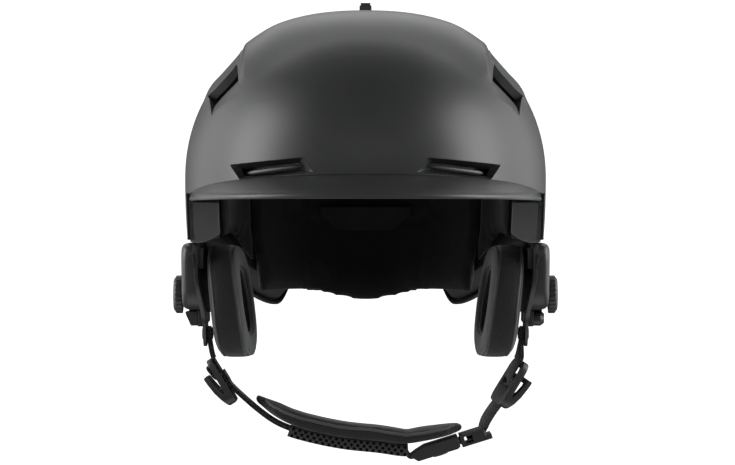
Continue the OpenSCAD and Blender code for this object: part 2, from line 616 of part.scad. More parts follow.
module pod_outline(grow) {
    hull() {
        for (s = [1, -1]) translate([s * (plate_half - 10), plate_top - 9]) circle(r = 8 + grow);
        for (s = [1, -1]) translate([s * (plate_half - 24), pod_low + 13]) circle(r = 13 + grow);
    }
}
module pod_half_space(x) { on_plate() translate([x, -big / 2, -big / 2]) cube([big, big, big]); }
module pod_cover(side) {
    color(trim_color) on_side(side) difference() {
        intersection() {
            translate([0, ear_y, ear_z]) rotate([90, 0, 90]) union() {
                translate([0, 0, pod_in]) linear_extrude(pod_x - pod_in - 2.5) pod_outline(0);
                translate([0, 0, pod_in + 1]) linear_extrude(pod_x - pod_in - 1) pod_outline(-3);
            }
            pod_half_space(0.15);
        }
        intersection() {
            translate([0, ear_y, ear_z]) rotate([90, 0, 90]) translate([0, 0, pod_in - 5])
                linear_extrude(pod_x - pod_t - pod_in + 5) pod_outline(-pod_t - 1.6);
            pod_half_space(-1);
        }
        translate([0, ear_y, ear_z - 2]) rotate([0, 90, 0]) cylinder(r = hub_r + fit_gap, h = big);
    }
}
battery_size = [2.2, 42, 9];
board_size = [1.4, 48, 12];
inside_z = 5;                       // foot of the battery and board over the ear's centre
module battery() {
    color("dimgray") on_plate() translate([gap, -battery_size[1] / 2, inside_z]) cube(battery_size);
}
module control_board() {
    color("darkgreen") mirror([1, 0, 0]) on_plate() translate([gap, -board_size[1] / 2, inside_z]) cube(board_size);
}
module dial_hub(side) {
    color(trim_color) on_side(side) translate([plate_x - 1.4, ear_y, ear_z - 2]) rotate([0, 90, 0])
        cylinder(r = hub_r, h = pod_x + 4 - plate_x + 1.4);
}
module dial(side) {
    color(trim_color) on_side(side) translate([pod_x + press_travel + 0.3, ear_y, ear_z - 2]) rotate([0, 90, 0])
        difference() {
            union() {
                cylinder(r = dial_r, h = dial_h - 1.6);
                translate([0, 0, dial_h - 1.6]) cylinder(r1 = dial_r, r2 = dial_r - 2.2, h = 1.6);
            }
            for (k = [0:dial_notches - 1]) rotate([0, 0, 360 * k / dial_notches])
                translate([dial_r + 0.3, 0, -1]) cylinder(r = 0.8, h = dial_h + 2);
            translate([0, 0, -1]) cylinder(r = hub_r + fit_gap, h = 4.2);
        }
}
button_z = ear_z + pod_low - 0.7 - 4.8;
stem_in = -3.9;                     // inner end of the buttons' stems from their heads
module button_left() {
    color(trim_color) translate([pod_x - 8.3, ear_y, button_z]) rotate([0, 90, 0]) {
        translate([0, 0, stem_in]) cylinder(r = 2, h = 1 - stem_in);
        cylinder(r = 4.6, h = 4.5);
        translate([0, 0, 4.5]) cylinder(r1 = 4.6, r2 = 3, h = 2.2);
    }
}
module button_right() {
    color(trim_color) mirror([1, 0, 0]) translate([0, ear_y, button_z]) {
        rotate([90, 0, 0]) translate([0, 0, -9]) linear_extrude(18)
            polygon([[pod_x - 8.3, -4.2], [pod_x - 4.4, -4.2], [pod_x - 1.2, 3], [pod_x - 1.2, 4.2], [pod_x - 8.3, 4.2]]);
        translate([pod_x - 8.3 + stem_in, 0, 0]) rotate([0, 90, 0]) cylinder(r = 2, h = 1 - stem_in);
    }
}
module speaker(side) {
    color("dimgray") on_side(side) on_plate() translate([-plate_t - speaker_t - 2, 0, 2]) rotate([0, 90, 0])
        difference() {
            union() {
                cylinder(r = speaker_r, h = speaker_t);
                cylinder(r = speaker_r / 2, h = speaker_t + 1.98);
            }
            translate([0, 0, -1]) cylinder(r = speaker_r - 3, h = 2.2);
        }
}
ear_steps = 32;
function super(a, b, n, t) = let (c = cos(t), s = sin(t))
    [a * sign(c) * pow(abs(c), 2 / n), b * sign(s) * pow(abs(s), 2 / n)];
// Ear pad: a ring of sections round the ear; its outer face follows the plate.
function pad_section(t) =
    let (o = super(ear_l / 2, ear_h / 2, 2.9, t), e = super(ear_hole_r, ear_hole_r + 1.5, 2.2, t),
        zc = pad_top - ear_h / 2, hole_z = ear_z - 5.9,
        at = function(f, side) let (p = [mix(e[0], o[0], f), mix(hole_z - zc + e[1], o[1], f)],
            h = p[1] - ear_h / 2 + 2.6,
            x_out = shell_w / 2 - 12.4 + 0.117 * h - 5 * ease(0.75, 1, -2 * p[1] / ear_h),
            x_in = shell_w / 2 - 12.4 - ear_t + 0.14 * h - ear_wedge * ((p[0] + ear_l / 2) / ear_l))
            [side > 0.5 ? mix(x_out, x_in, 0) : side < -0.5 ? x_in : mix(x_out, x_in, 0.5 - side / 1),
             ear_y + p[0], zc + p[1]])
    [at(0.1, 1), at(0.9, 1), at(1, 0.25), at(1, -0.25), at(0.86, -1), at(0.25, -1), at(0, -0.2), at(0, 0.25)];
module ear_pad(side) {
    color(pad_color) on_side(side) loft([for (i = [0:ear_steps - 1]) pad_section(360 * i / ear_steps)], loop = true);
}

// ---------- straps ----------
// Strip of webbing along points in the XZ plane; twists are turns about its own line.
function turn_about(v, k, a) = v * cos(a) + cross(k, v) * sin(a) + k * (k * v) * (1 - cos(a));
function web_section(p, dir, w, t, twist) =
    let (y = turn_about([0, 1, 0], dir, twist), n = cross(y, dir))
    [p + y * w / 2 + n * t / 2, p + y * w / 2 - n * t / 2, p - y * w / 2 - n * t / 2, p - y * w / 2 + n * t / 2];
function direction(pts, i) = unit(pts[min(i + 1, len(pts) - 1)] - pts[max(i - 1, 0)]);
module webbing(pts, w, t, twists = []) {
    loft([for (i = [0:len(pts) - 1])
        web_section(pts[i], direction(pts, i), w, t, len(twists) ? twists[i] : 0)]);
}
module inner_strap(side) {
    h = web_w / 4;
    color(trim_color) on_side(side) on_plate() translate([-plate_t - 1.5, 0, 0]) rotate([90, 0, 90]) linear_extrude(1) {
        for (s = [1, -1]) polygon([[s * 39 - h, plate_top - 8], [s * 39 - 2 * h * s - h, plate_top - 8], [s * 6, -14.4], [s * 14, -19]]);
        translate([-13, -19]) square([26, 4.6]);
    }
}
hanger_x = pivot_x - plate_t - 0.5 - web_t / 2;                   // middle of the outer ply at the rivet
module rivet(side) {
    inner = hanger_x - 1.45 * web_t - 1.3;
    color("silver") on_side(side) translate([inner, ear_y, pivot_z]) rotate([0, 90, 0]) {
        cylinder(r = 2.5, h = pivot_x + 1 - inner);
        cylinder(r = 4.5, h = 1.1);
        translate([0, 0, pivot_x - inner]) cylinder(r = 4.5, h = 1.1);
    }
}
// Divider frame: s runs down its length, n outward; twist turns it about its length.
divider_top = [pivot_x - 7.94, ear_y, pivot_z - 18.2];
divider_lean = 31.4;
divider_dir = [-sin(divider_lean), 0, -cos(divider_lean)];
function divider_normal(twist) = turn_about([cos(divider_lean), 0, -sin(divider_lean)], divider_dir, -twist);
function divider_at(twist) = divider_top + [0.04, 0, -0.07] * twist;
function divider_pt(s, n, twist) = divider_at(twist) + divider_dir * s + divider_normal(twist) * n;
module on_divider(twist) {
    translate(divider_at(twist)) rotate([0, divider_lean, 0]) rotate([0, 0, twist]) children();
}
slot_w = web_w + 1.6;
module divider(twist) {
    l = divider_l;
    color(trim_color) on_divider(twist) difference() {
        translate([0, divider_w / 2, 0]) rotate([90, 0, 0]) linear_extrude(divider_w)
            polygon([[-2, 0], [0, 2.6], [2.6, 2], [2, -1], [2, -l + 7], [3.6, -l + 5], [6.6, -13.5], [7, -9.5],
                [10.4, -8.5], [9.8, -14], [6.8, -l + 2.5], [3, -l - 1.4], [-0.6, -l - 0.6], [-2, -l + 1]]);
        translate([-10, -slot_w / 2, -6.4]) cube([30, slot_w, 4.2]);
        translate([-10, -slot_w / 2, -l + 8.5]) cube([14, slot_w, 5.5]);
    }
}
module hanger(side, twist) {
    color(trim_color) on_side(side) one_mesh() difference() {
        union() for (k = [0, 1]) {
            x = hanger_x - 0.95 * web_t * k;
            out = k == 0 ? 4 : -3.2;
            webbing([[x, ear_y, pivot_z + 4.2], [x, ear_y, pivot_z - 8.5], divider_pt(-4.5, out, twist),
                divider_pt(0.8, out, twist), divider_pt(2.7, out * 0.95, twist), divider_pt(4.5, out * 0.12, twist)],
                web_w - 2, web_t, [0, 0, -twist * 0.9, -twist, -twist, -twist]);
        }
        translate([pivot_x - 20, ear_y, pivot_z]) rotate([0, 90, 0]) cylinder(r = 2.5 + fit_gap, h = 40);
        on_divider(twist) {
            translate([-2.3, -divider_w, -2.5]) cube([4.6, 2 * divider_w, 4.6]);
            translate([-0.3, -divider_w, -2.5]) cube([3.2, 2 * divider_w, 5.4]);
            translate([-4, -divider_w, -divider_l]) cube([8, 2 * divider_w, divider_l - 5.9]);
        }
    }
}

// Lower strap: route of the webbing from the right divider to the buckle.
function mirrored(p) = [-p[0], p[1], p[2]];
strap_off = -2 - web_t - 0.5;                         // strap's middle off the divider's inner face
divider_twist = 40;                                   // turn of the left divider as it hangs
// Point of the strap's route: share of the rivets' distance from the middle, and drop below the ears.
function hung(share, drop) = [share * pivot_x, ear_y, ear_z - drop];
buckle_mid = hung(0.5406, 91.7);
buckle_tilt = 17.4;
buckle_dir = [cos(buckle_tilt), 0, sin(buckle_tilt)];
pad_route = [hung(-0.6543, 71.8), hung(-0.5235, 80.5), hung(-0.3624, 86), hung(-0.1409, 90.6),
    hung(0.0805, 93), hung(0.2215, 95)];
pad_end = [hung(0.302, 94.6), hung(0.453, 91.6), hung(0.5939, 87.6)];
module chin_strap_right() {
    color(trim_color) webbing(concat([mirrored(divider_pt(12, strap_off - 0.4, 0)), mirrored(divider_pt(20, strap_off, 0))],
        pad_route, [buckle_mid - buckle_dir * (socket_l + 1), buckle_mid - buckle_dir * (socket_l - 5)]),
        web_w, 2 * web_t);
}
module chin_strap_left() {
    t = divider_twist;
    a = divider_pt(19, strap_off - 0.8, t);
    b = buckle_mid + buckle_dir * 26;
    color(trim_color) one_mesh() difference() {
        webbing([divider_pt(11, strap_off + 0.3, t), a, mix(a, b, 0.5) + [-1.2, 0, 0], b,
        buckle_mid + buckle_dir * 22, buckle_mid + buckle_dir * 8],
            web_w - 1, web_t, [-t, -0.8 * t, -0.3 * t, 0, 0, 0]);
        on_divider(t) translate([-2.4, -divider_w, -divider_l - 2]) cube([14, 2 * divider_w, divider_l]);
    }
}
function lens_section(p, dir, w, t, off) =
    let (n = cross(dir, [0, 1, 0]), y = [0, 1, 0], c = p + n * off)
    [for (q = [[0.5, 0], [0.44, 0.36], [0.3, 0.5], [-0.3, 0.5], [-0.44, 0.36], [-0.5, 0], [-0.44, -0.36],
        [-0.3, -0.5], [0.3, -0.5], [0.44, -0.36]]) c + y * w * q[0] + n * t * q[1]];
module chin_pad() {
    pts = concat(pad_route, pad_end);
    last = len(pts) - 1;
    color(pad_color) loft([for (i = [0:last]) let (f = i == 0 || i == last ? 0.82 : 1)
        lens_section(pts[i], direction(pts, i), chin_pad_w * f, chin_pad_t * f,
            web_t + sleeve_wall + gap + chin_pad_t / 2)]);
}
sleeve_wall = 1.1;
module pad_sleeve() {
    pts = pad_route;
    ring = function(p, dir, w, t) [for (q = [[0.5, 0.5], [-0.5, 0.5], [-0.5, -0.5], [0.5, -0.5]])
        p + [0, 1, 0] * w * q[0] + cross(dir, [0, 1, 0]) * t * q[1]];
    grid = function(w, t) [for (k = [3:-1:0]) [for (i = [1:len(pts) - 1]) ring(pts[i], direction(pts, i), w, t)[k]]];
    color(trim_color) slab(grid(web_w + 5, 2 * (web_t + sleeve_wall)), grid(web_w + 0.8, 2 * web_t + 0.5), wrap = true);
}
module on_buckle() { translate(buckle_mid) rotate([0, -buckle_tilt, 0]) children(); }
module buckle_socket() {
    color(trim_color) on_buckle() difference() {
        translate([-socket_l + 3, 0, 0]) rotate([90, 0, 0]) translate([0, 0, -buckle_w / 2]) linear_extrude(buckle_w)
            polygon([[-4, 0.6], [0, -buckle_t / 2], [socket_l - 2, -buckle_t / 2], [socket_l, -buckle_t / 2 + 1],
                [socket_l, buckle_t / 2], [6, buckle_t / 2], [0, buckle_t / 2 - 1.6]]);
        translate([-socket_l + 9, -buckle_w / 2 + 2.2, -buckle_t / 2 + 1.6]) cube([socket_l, buckle_w - 4.4, buckle_t - 3.2]);
        translate([-socket_l - 4, -web_w / 2 - 0.5, -web_t - 0.3]) cube([9, web_w + 1, 2 * web_t + 0.6]);
    }
}
module buckle_plug() {
    color(trim_color) on_buckle() difference() {
        union() {
            translate([4, -buckle_w / 2, -buckle_t / 2]) cube([19, buckle_w, buckle_t]);
            for (s = [1, -1]) translate([-12, s * 7 - 2, -1.6]) cube([17, 4, 3.2]);
        }
        translate([6.5, -buckle_w / 2 - 1, -buckle_t / 2 + 1.6]) cube([5, buckle_w + 2, buckle_t - 3.2]);
        translate([0, -web_w / 2 - 0.3, -web_t / 2 - 0.3]) cube([40, web_w + 0.6, web_t + 0.6]);
        // room over the lower lip for the webbing's bend as the plug moves out
        translate([23.4 - buckle_travel, -buckle_w / 2 - 1, -web_t / 2 - 0.3]) cube([20, buckle_w + 2, 20]);
    }
}
module buckle_latch() {
    color(trim_color) on_buckle() translate([-10, 0, -buckle_t / 2 - 1.3]) cylinder(r = 4.5, h = 1.2);
}

outer_shell();
brim();
temple_trim(1);  // temple_trim_left
temple_trim(-1);  // temple_trim_right
edge_trim();
foam_liner();
brow_pad();
crown_pad();
rear_pad();
side_pad(1);  // side_pad_left
side_pad(-1);  // side_pad_right
inner_patch();
vent_slider();
vent_shutter();
vent_rail();
brow_vent(1);  // brow_vent_left
brow_vent(-1);  // brow_vent_right
rear_vent_mesh();
fit_band();
fit_housing();
fit_dial();
fit_pinion();
fit_rack(1);  // fit_rack_left
fit_rack(-1);  // fit_rack_right
goggle_clip_base();
goggle_clip_flap();
goggle_clip_pin();
ear_plate(1);  // ear_plate_left
ear_plate(-1);  // ear_plate_right
ear_screws();
pod_cover(1);  // pod_cover_left
pod_cover(-1);  // pod_cover_right
battery();
control_board();
dial_hub(1);  // dial_hub_left
dial_hub(-1);  // dial_hub_right
dial(1);  // dial_left
dial(-1);  // dial_right
button_left();
button_right();
speaker(1);  // speaker_left
speaker(-1);  // speaker_right
ear_pad(1);  // ear_pad_left
ear_pad(-1);  // ear_pad_right
inner_strap(1);  // inner_strap_left
inner_strap(-1);  // inner_strap_right
rivet(1);  // rivet_left
rivet(-1);  // rivet_right
hanger(1, divider_twist);  // hanger_left
hanger(-1, 0);  // hanger_right
divider(divider_twist);  // divider_left
mirror([1, 0, 0]) divider(0);  // divider_right
chin_strap_left();
chin_strap_right();
chin_pad();
pad_sleeve();
buckle_socket();
buckle_plug();
buckle_latch();
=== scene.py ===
"""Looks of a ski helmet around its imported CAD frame.

Sizes are millimetres, turned into metres where a mesh is made; the camera, the lights and
the floor are in metres. +Z is up, the face looks along -Y and +X is the wearer's left.
"""
import json
import math
import bmesh
import bpy
import numpy as np
from mathutils import Matrix, Vector
from mathutils.bvhtree import BVHTree


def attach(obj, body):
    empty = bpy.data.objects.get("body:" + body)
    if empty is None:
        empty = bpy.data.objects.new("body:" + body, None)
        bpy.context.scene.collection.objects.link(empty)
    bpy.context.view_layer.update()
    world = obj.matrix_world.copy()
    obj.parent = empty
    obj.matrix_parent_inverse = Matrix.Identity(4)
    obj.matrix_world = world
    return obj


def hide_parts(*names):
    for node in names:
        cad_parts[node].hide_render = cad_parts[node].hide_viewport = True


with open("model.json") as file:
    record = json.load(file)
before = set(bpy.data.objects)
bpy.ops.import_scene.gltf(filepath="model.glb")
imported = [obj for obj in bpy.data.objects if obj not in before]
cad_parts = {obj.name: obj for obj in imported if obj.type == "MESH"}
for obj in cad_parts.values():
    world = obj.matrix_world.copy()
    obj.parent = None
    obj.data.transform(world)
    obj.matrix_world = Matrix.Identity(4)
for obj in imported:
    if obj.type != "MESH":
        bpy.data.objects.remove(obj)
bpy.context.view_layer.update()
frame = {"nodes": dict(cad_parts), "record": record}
NODES = frame["nodes"]
MM = 0.001
SIDES = ((1, "left"), (-1, "right"))

# ----- the helmet's sizes, as in the CAD but for LOBE_AZ, 3 degrees further forward -----
SHELL_W, SHELL_L, DOME_H, CROWN_H = 218.0, 271.0, 101.0, 31.0
SHELL_T, FOAM_T = 2.6, 20.0
PLAN_N, DOME_N, PLATEAU_N = 2.1, 2.08, 2.3825
WIDE_Z, MID_Y = CROWN_H - DOME_H, 1.5
TEMPLE_AZ, LOBE_AZ, NAPE_AZ = 68.0, 146.0, 163.0
SIDE_RIM, LOBE_RIM, NAPE_RIM = -37.0, -76.0, -47.0
FIT_GAP, BAND_T, BAND_GAP, PAD_T = 0.3, 1.2, 0.9, 6.2
FOAM_D = SHELL_T + FIT_GAP  # depths under the shell's outer face: foam, fit band, pads
BAND_D = FOAM_D + FOAM_T + FIT_GAP
PAD_D = BAND_D + BAND_T + BAND_GAP
PAD_IN = PAD_D + PAD_T
TEMPLE_THIN, CREASE_DROP = 5, 10  # thinner foam at the temples; fall of the brim's crease
BRIM_DROP, BRIM_REACH, LIP_H = 14.0, 18.0, 3.0
EAR_Y, EAR_Z = 1.0, -138.0
SHELL_HALF = 74.0  # half width of the raised crown


def ease(a, b, x):
    t = np.clip((x - a) / (b - a), 0, 1)
    return t * t * (3 - 2 * t)


def mix(a, b, t):
    return a + (b - a) * t


def plan_r(az, d=0.0):
    """Radius of the widest line at inset d."""
    s, c = np.abs(np.sin(np.radians(az))), np.abs(np.cos(np.radians(az)))
    return ((s / (SHELL_W / 2 - d)) ** PLAN_N + (c / (SHELL_L / 2 - d)) ** PLAN_N) ** (-1 / PLAN_N)


def tuck(az, depth):
    """Share by which the sides pull in at a depth below the widest line."""
    a = np.abs((np.asarray(az) + 180) % 360 - 180)
    return (depth / 35) ** 2 * mix(0.012, 0.040, ease(95, 165, a))


def side_inset(az, lat, d):
    a = np.abs((np.asarray(az) + 180) % 360 - 180)
    thin = TEMPLE_THIN * ease(35, TEMPLE_AZ, a) * ease(140, 105, a) * ease(45, 5, lat)
    return np.where(d <= FOAM_D, d, d - thin)


def skin(az, lat, d=0.0):
    """Point of the shell's form: lat is degrees above the widest line, millimetres below it."""
    az, lat = np.broadcast_arrays(np.asarray(az, float), np.asarray(lat, float))
    d = side_inset(az, lat, d)
    up = np.radians(np.clip(lat, 0, 90))
    share = np.where(lat >= 0, np.cos(up) ** (2 / DOME_N), 1 - tuck(az, -np.minimum(lat, 0)))
    r = plan_r(az, d) * share
    z = WIDE_Z + np.where(lat >= 0, (DOME_H - d) * np.sin(up) ** (2 / DOME_N), lat)
    a = np.radians(az)
    return np.stack([r * np.sin(a), MID_Y - r * np.cos(a), z], -1)


def dome_z(x, y, n=DOME_N, d=0.0):
    x, y = np.abs(x), np.abs(np.asarray(y) - MID_Y)
    p = PLAN_N if n == DOME_N else n
    share = ((x / (SHELL_W / 2 - d)) ** p + (y / (SHELL_L / 2 - d)) ** p) ** (1 / p)
    return WIDE_Z + (DOME_H - d) * np.maximum(0, 1 - share ** n) ** (1 / n)


def front_y(x, z):
    """Place along Y of the shell's form, seen from the front at x and z."""
    t = np.clip((z - WIDE_Z) / DOME_H, 0, 1)
    share = np.where(z >= WIDE_Z, (1 - t ** DOME_N) ** (1 / DOME_N), 1.0)
    rest = np.maximum(0, share ** PLAN_N - np.abs(x / (SHELL_W / 2)) ** PLAN_N)
    return MID_Y - SHELL_L / 2 * rest ** (1 / PLAN_N)


def dome_normal(x, y):
    e = 0.2  # half the step of the slopes
    dx = (dome_z(x + e, y) - dome_z(x - e, y)) / (2 * e)
    dy = (dome_z(x, y + e) - dome_z(x, y - e)) / (2 * e)
    n = np.stack([-dx, -dy, np.ones_like(dx)], -1)
    return n / np.linalg.norm(n, axis=-1, keepdims=True)


def on_dome(p, h):
    """Places at height h over the dome, above points of x and y."""
    x, y = p[..., 0], p[..., 1]
    return np.stack([x, y, dome_z(x, y)], -1) + h[..., None] * dome_normal(x, y)


def crease(az):
    """Where the brim springs from the shell, below the widest line."""
    return -CREASE_DROP * (np.abs(az) / TEMPLE_AZ) ** 2


def rim(az):
    """The shell's lower edge, below the widest line."""
    a = np.abs((np.asarray(az, float) + 180) % 360 - 180)
    side = mix(SIDE_RIM, LOBE_RIM, ease(108, LOBE_AZ, a))
    nape = mix(LOBE_RIM, NAPE_RIM, ease(LOBE_AZ, NAPE_AZ, a))
    return np.where(a < TEMPLE_AZ, crease(a), np.where(a < LOBE_AZ, side, nape))


# ----- meshes -----
def place(name, data):
    ob = bpy.data.objects.new(name, data)
    bpy.context.collection.objects.link(ob)
    return ob


def around(k):
    """k angles of a full turn."""
    return np.linspace(0, 2 * math.pi, k + 1)[:-1]


def power(x, p):
    """Power that keeps the sign."""
    return np.sign(x) * np.abs(x) ** p


def add(name, verts, faces, mat=None, body="helmet", **marks):
    me = bpy.data.meshes.new(name)
    me.from_pydata([tuple(v) for v in np.asarray(verts, float) * MM], [], [tuple(map(int, f)) for f in faces])
    me.validate()
    return dress(place(name, me), mat, body, **marks)


def dress(ob, mat=None, body="helmet", replaces=(), slot=None, angle=None):
    """Gives a piece its looks, its body and the CAD nodes it stands for; its slot is not used."""
    me = ob.data
    if mat:
        me.materials.clear()
        me.materials.append(mat)
    me.polygons.foreach_set("use_smooth", [True] * len(me.polygons))
    if angle:
        me.set_sharp_from_angle(angle=math.radians(angle))
    if body:
        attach(ob, body)
    if replaces:
        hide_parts(*replaces)
    return ob


def bake(ob):
    """Applies the piece's modifiers."""
    deps = bpy.context.evaluated_depsgraph_get()
    me = bpy.data.meshes.new_from_object(ob.evaluated_get(deps), depsgraph=deps)
    ob.modifiers.clear()
    ob.data = me
    return ob


def modify(ob, kind, **values):
    m = ob.modifiers.new(kind.lower(), kind)
    for key, value in values.items():
        setattr(m, key, value)
    return m


def grid_faces(rows, cols, wrap=False, start=0):
    last = cols if wrap else cols - 1
    return [(start + i * cols + j, start + i * cols + (j + 1) % cols,
             start + (i + 1) * cols + (j + 1) % cols, start + (i + 1) * cols + j)
            for i in range(rows - 1) for j in range(last)]


def slab(outer, inner, wrap=False):
    """Closed solid between two equal grids of points, rows by columns; wrap closes the columns."""
    rows, cols = outer.shape[:2]
    n = rows * cols
    faces = [f[::-1] for f in grid_faces(rows, cols, wrap)] + grid_faces(rows, cols, wrap, n)
    last = cols if wrap else cols - 1
    for j in range(last):
        k = (j + 1) % cols
        faces.append((j, k, n + k, n + j))
        e = (rows - 1) * cols
        faces.append((e + k, e + j, n + e + j, n + e + k))
    if not wrap:
        for i in range(rows - 1):
            a, b = i * cols, (i + 1) * cols
            faces.append((b, a, n + a, n + b))
            a, b = a + cols - 1, b + cols - 1
            faces.append((a, b, n + b, n + a))
    return np.concatenate([outer.reshape(-1, 3), inner.reshape(-1, 3)]), faces


def loft(sections, loop=False):
    """Closed solid through equal closed sections."""
    s = np.asarray(sections, float)
    n, k = s.shape[:2]
    faces = []
    for i in range(n if loop else n - 1):
        a, b = i * k, ((i + 1) % n) * k
        faces += [(a + j, a + (j + 1) % k, b + (j + 1) % k, b + j) for j in range(k)]
    if not loop:
        faces += [tuple(range(k))[::-1], tuple(range((n - 1) * k, n * k))]
    return s.reshape(-1, 3), faces


def fan(hub, start, k, order=1):
    """Triangles from a middle point to a ring of k points."""
    return [(hub,) + (start + j, start + (j + 1) % k)[::order] for j in range(k)]


def recalc(ob):
    bm = bmesh.new()
    bm.from_mesh(ob.data)
    bmesh.ops.recalc_face_normals(bm, faces=bm.faces)
    bm.to_mesh(ob.data)
    bm.free()
    return ob


def solid(name, shape, *args, **marks):
    """Piece from a shape of points and faces, with its normals outward."""
    return recalc(add(name, *shape, *args, **marks))


# ----- materials -----
def settle(node, values):
    for key, value in values.items():
        node.inputs[key].default_value = value


def weave(nodes, links, scale):
    """Slanting ribs that cross, laid along a strap by its own coordinates."""
    at = nodes.new("ShaderNodeUVMap")
    at.uv_map = "uv"
    waves = []
    for kind in ("X", "DIAGONAL"):
        wave = nodes.new("ShaderNodeTexWave")
        wave.bands_direction = kind
        wave.inputs["Scale"].default_value = scale
        links.new(at.outputs["UV"], wave.inputs["Vector"])
        waves.append(wave)
    both_waves = nodes.new("ShaderNodeMath")
    both_waves.operation = "MULTIPLY"
    for n, wave in enumerate(waves):
        links.new(wave.outputs["Fac"], both_waves.inputs[n])
    return both_waves, both_waves.outputs["Value"]


def material(name, color, rough, bump=(), sheen=0.0, metal=0.0, tint=0.25, patch=60):
    """Principled material: colour clouds of size 1/patch m, and bumps from a list of
    (kind, scale per metre, strength, distance mm)."""
    mat = bpy.data.materials.new(name)
    mat.use_nodes = True
    nodes, links = mat.node_tree.nodes, mat.node_tree.links
    p = nodes["Principled BSDF"]
    settle(p, {"Metallic": metal, "IOR": 1.5, "Sheen Weight": sheen, "Sheen Roughness": 0.4})
    coord = nodes.new("ShaderNodeTexCoord").outputs["Object"]
    cloud = nodes.new("ShaderNodeTexNoise")
    settle(cloud, {"Scale": patch, "Detail": 4})
    links.new(coord, cloud.inputs["Vector"])
    ramp = nodes.new("ShaderNodeValToRGB")
    ramp.color_ramp.elements[0].position, ramp.color_ramp.elements[1].position = 0.3, 0.7
    for e, f in zip(ramp.color_ramp.elements, (1 - tint, 1 + tint)):
        e.color = [min(1, c * f) for c in color] + [1]
    links.new(cloud.outputs["Fac"], ramp.inputs["Fac"])
    links.new(ramp.outputs["Color"], p.inputs["Base Color"])
    shine = nodes.new("ShaderNodeMapRange")
    settle(shine, {"To Min": rough * 0.92, "To Max": min(1, rough * 1.08)})
    links.new(cloud.outputs["Fac"], shine.inputs["Value"])
    links.new(shine.outputs["Result"], p.inputs["Roughness"])
    normal = None
    for kind, scale, strength, mm in bump:
        if kind == "noise":
            tex = nodes.new("ShaderNodeTexNoise")
            tex.inputs["Detail"].default_value = 3
            out = tex.outputs["Fac"]
        elif kind == "weave":
            tex, out = weave(nodes, links, scale)
        else:
            tex = nodes.new("ShaderNodeTexVoronoi")
            tex.feature = "SMOOTH_F1" if kind == "cells" else "F1"
            out = tex.outputs["Distance"]
        if kind != "weave":
            tex.inputs["Scale"].default_value = scale
            links.new(coord, tex.inputs["Vector"])
        b = nodes.new("ShaderNodeBump")
        settle(b, {"Strength": strength, "Distance": mm * MM})
        links.new(out, b.inputs["Height"])
        if normal:
            links.new(normal, b.inputs["Normal"])
        normal = b.outputs["Normal"]
    if normal:
        links.new(normal, p.inputs["Normal"])
    return mat


SHELL = material("shell_paint", (0.030, 0.030, 0.031), 0.43, [("noise", 2600, 0.12, 0.15)], tint=0.06)
TRIM = material("trim_plastic", (0.022, 0.022, 0.023), 0.42, [("noise", 3200, 0.3, 0.1)], tint=0.1)
RUBBER = material("rubber_edge", (0.02, 0.02, 0.02), 0.6, [("noise", 1800, 0.3, 0.1)])
FOAM = material("bead_foam", (0.02, 0.02, 0.021), 0.7, [("cells", 330, 0.5, 0.5), ("noise", 1500, 0.3, 0.1)])
FABRIC = material("pad_fabric", (0.0105, 0.0105, 0.011), 0.9,
                  [("noise", 2200, 0.6, 0.25), ("cells", 900, 0.5, 0.35)], sheen=0.16, tint=0.45, patch=900)
LINING = material("lining_cloth", (0.004, 0.004, 0.004), 0.95, [("cells", 900, 0.5, 0.3)], sheen=0.1)
# The shell's own colour made lighter for the temple panels: painted light for how brightly they are lit.
TEMPLE_PAINTED_LIGHT = material("temple_painted_light", (0.095, 0.095, 0.098), 0.5, [("noise", 2600, 0.15, 0.15)], tint=0.06)
SLEEVE = material("sleeve_rubber", (0.032, 0.032, 0.033), 0.6, [("noise", 1800, 0.3, 0.1)], tint=0.12)
WEB = material("webbing", (0.012, 0.012, 0.013), 0.8, [("cells", 1100, 0.6, 0.3)], sheen=0.2)
WEAVE = material("woven_webbing", (0.012, 0.012, 0.013), 0.75, [("weave", 230, 0.9, 0.35)],
                 sheen=0.25, tint=0.3, patch=700)
STEEL = material("black_steel", (0.045, 0.045, 0.048), 0.4, [("noise", 2500, 0.2, 0.05)], metal=1.0)
BOARD = material("circuit_board", (0.02, 0.09, 0.05), 0.4, [("noise", 900, 0.3, 0.1)])
CELL = material("battery_wrap", (0.16, 0.16, 0.18), 0.5, [("noise", 700, 0.2, 0.1)])
# Lighter cloth for the ear pads' inner rim: painted light, for the light that falls on it from below.
EDGE_PAINTED_LIGHT = material("pad_edge_painted_light", (0.05, 0.05, 0.052), 0.85, [("noise", 2200, 0.5, 0.2)],
                  sheen=0.3, tint=0.2, patch=500)
PIPING = material("pad_piping", (0.06, 0.06, 0.062), 0.75, [("noise", 2500, 0.4, 0.15)], sheen=0.3)
GRILLE = material("speaker_cloth", (0.03, 0.03, 0.03), 0.85, [("dots", 700, 0.8, 0.4)])
SLOT_MAT = {"shell": SHELL, "trim": TRIM, "foam": FOAM, "mesh": TRIM, "pad_fabric": FABRIC, "label": FABRIC,
            "webbing": WEB, "steel": STEEL, "cell": CELL, "board": BOARD, "speaker": GRILLE}
for part in frame["record"]["subparts"]:
    me = NODES[part["node"]].data
    me.materials.clear()
    me.materials.append(SLOT_MAT[part["material_slot"]])

# ----- camera, light and floor -----
SENSOR_MM, LENS_MM, CAMERA_AT = 36, 125.1, (0.0012, -1.549, -0.1025)
cam = place("camera", bpy.data.cameras.new("camera"))
cam.data.sensor_width = SENSOR_MM
cam.data.lens = LENS_MM
cam.location = CAMERA_AT
cam.rotation_euler = (math.radians(90), 0, 0)
bpy.context.scene.camera = cam
bpy.context.scene.view_settings.view_transform = "Standard"

world = bpy.data.worlds.new("studio")
bpy.context.scene.world = world
world.use_nodes = True
settle(world.node_tree.nodes["Background"], {"Color": (0.9, 0.95, 1.0, 1), "Strength": 0.10})


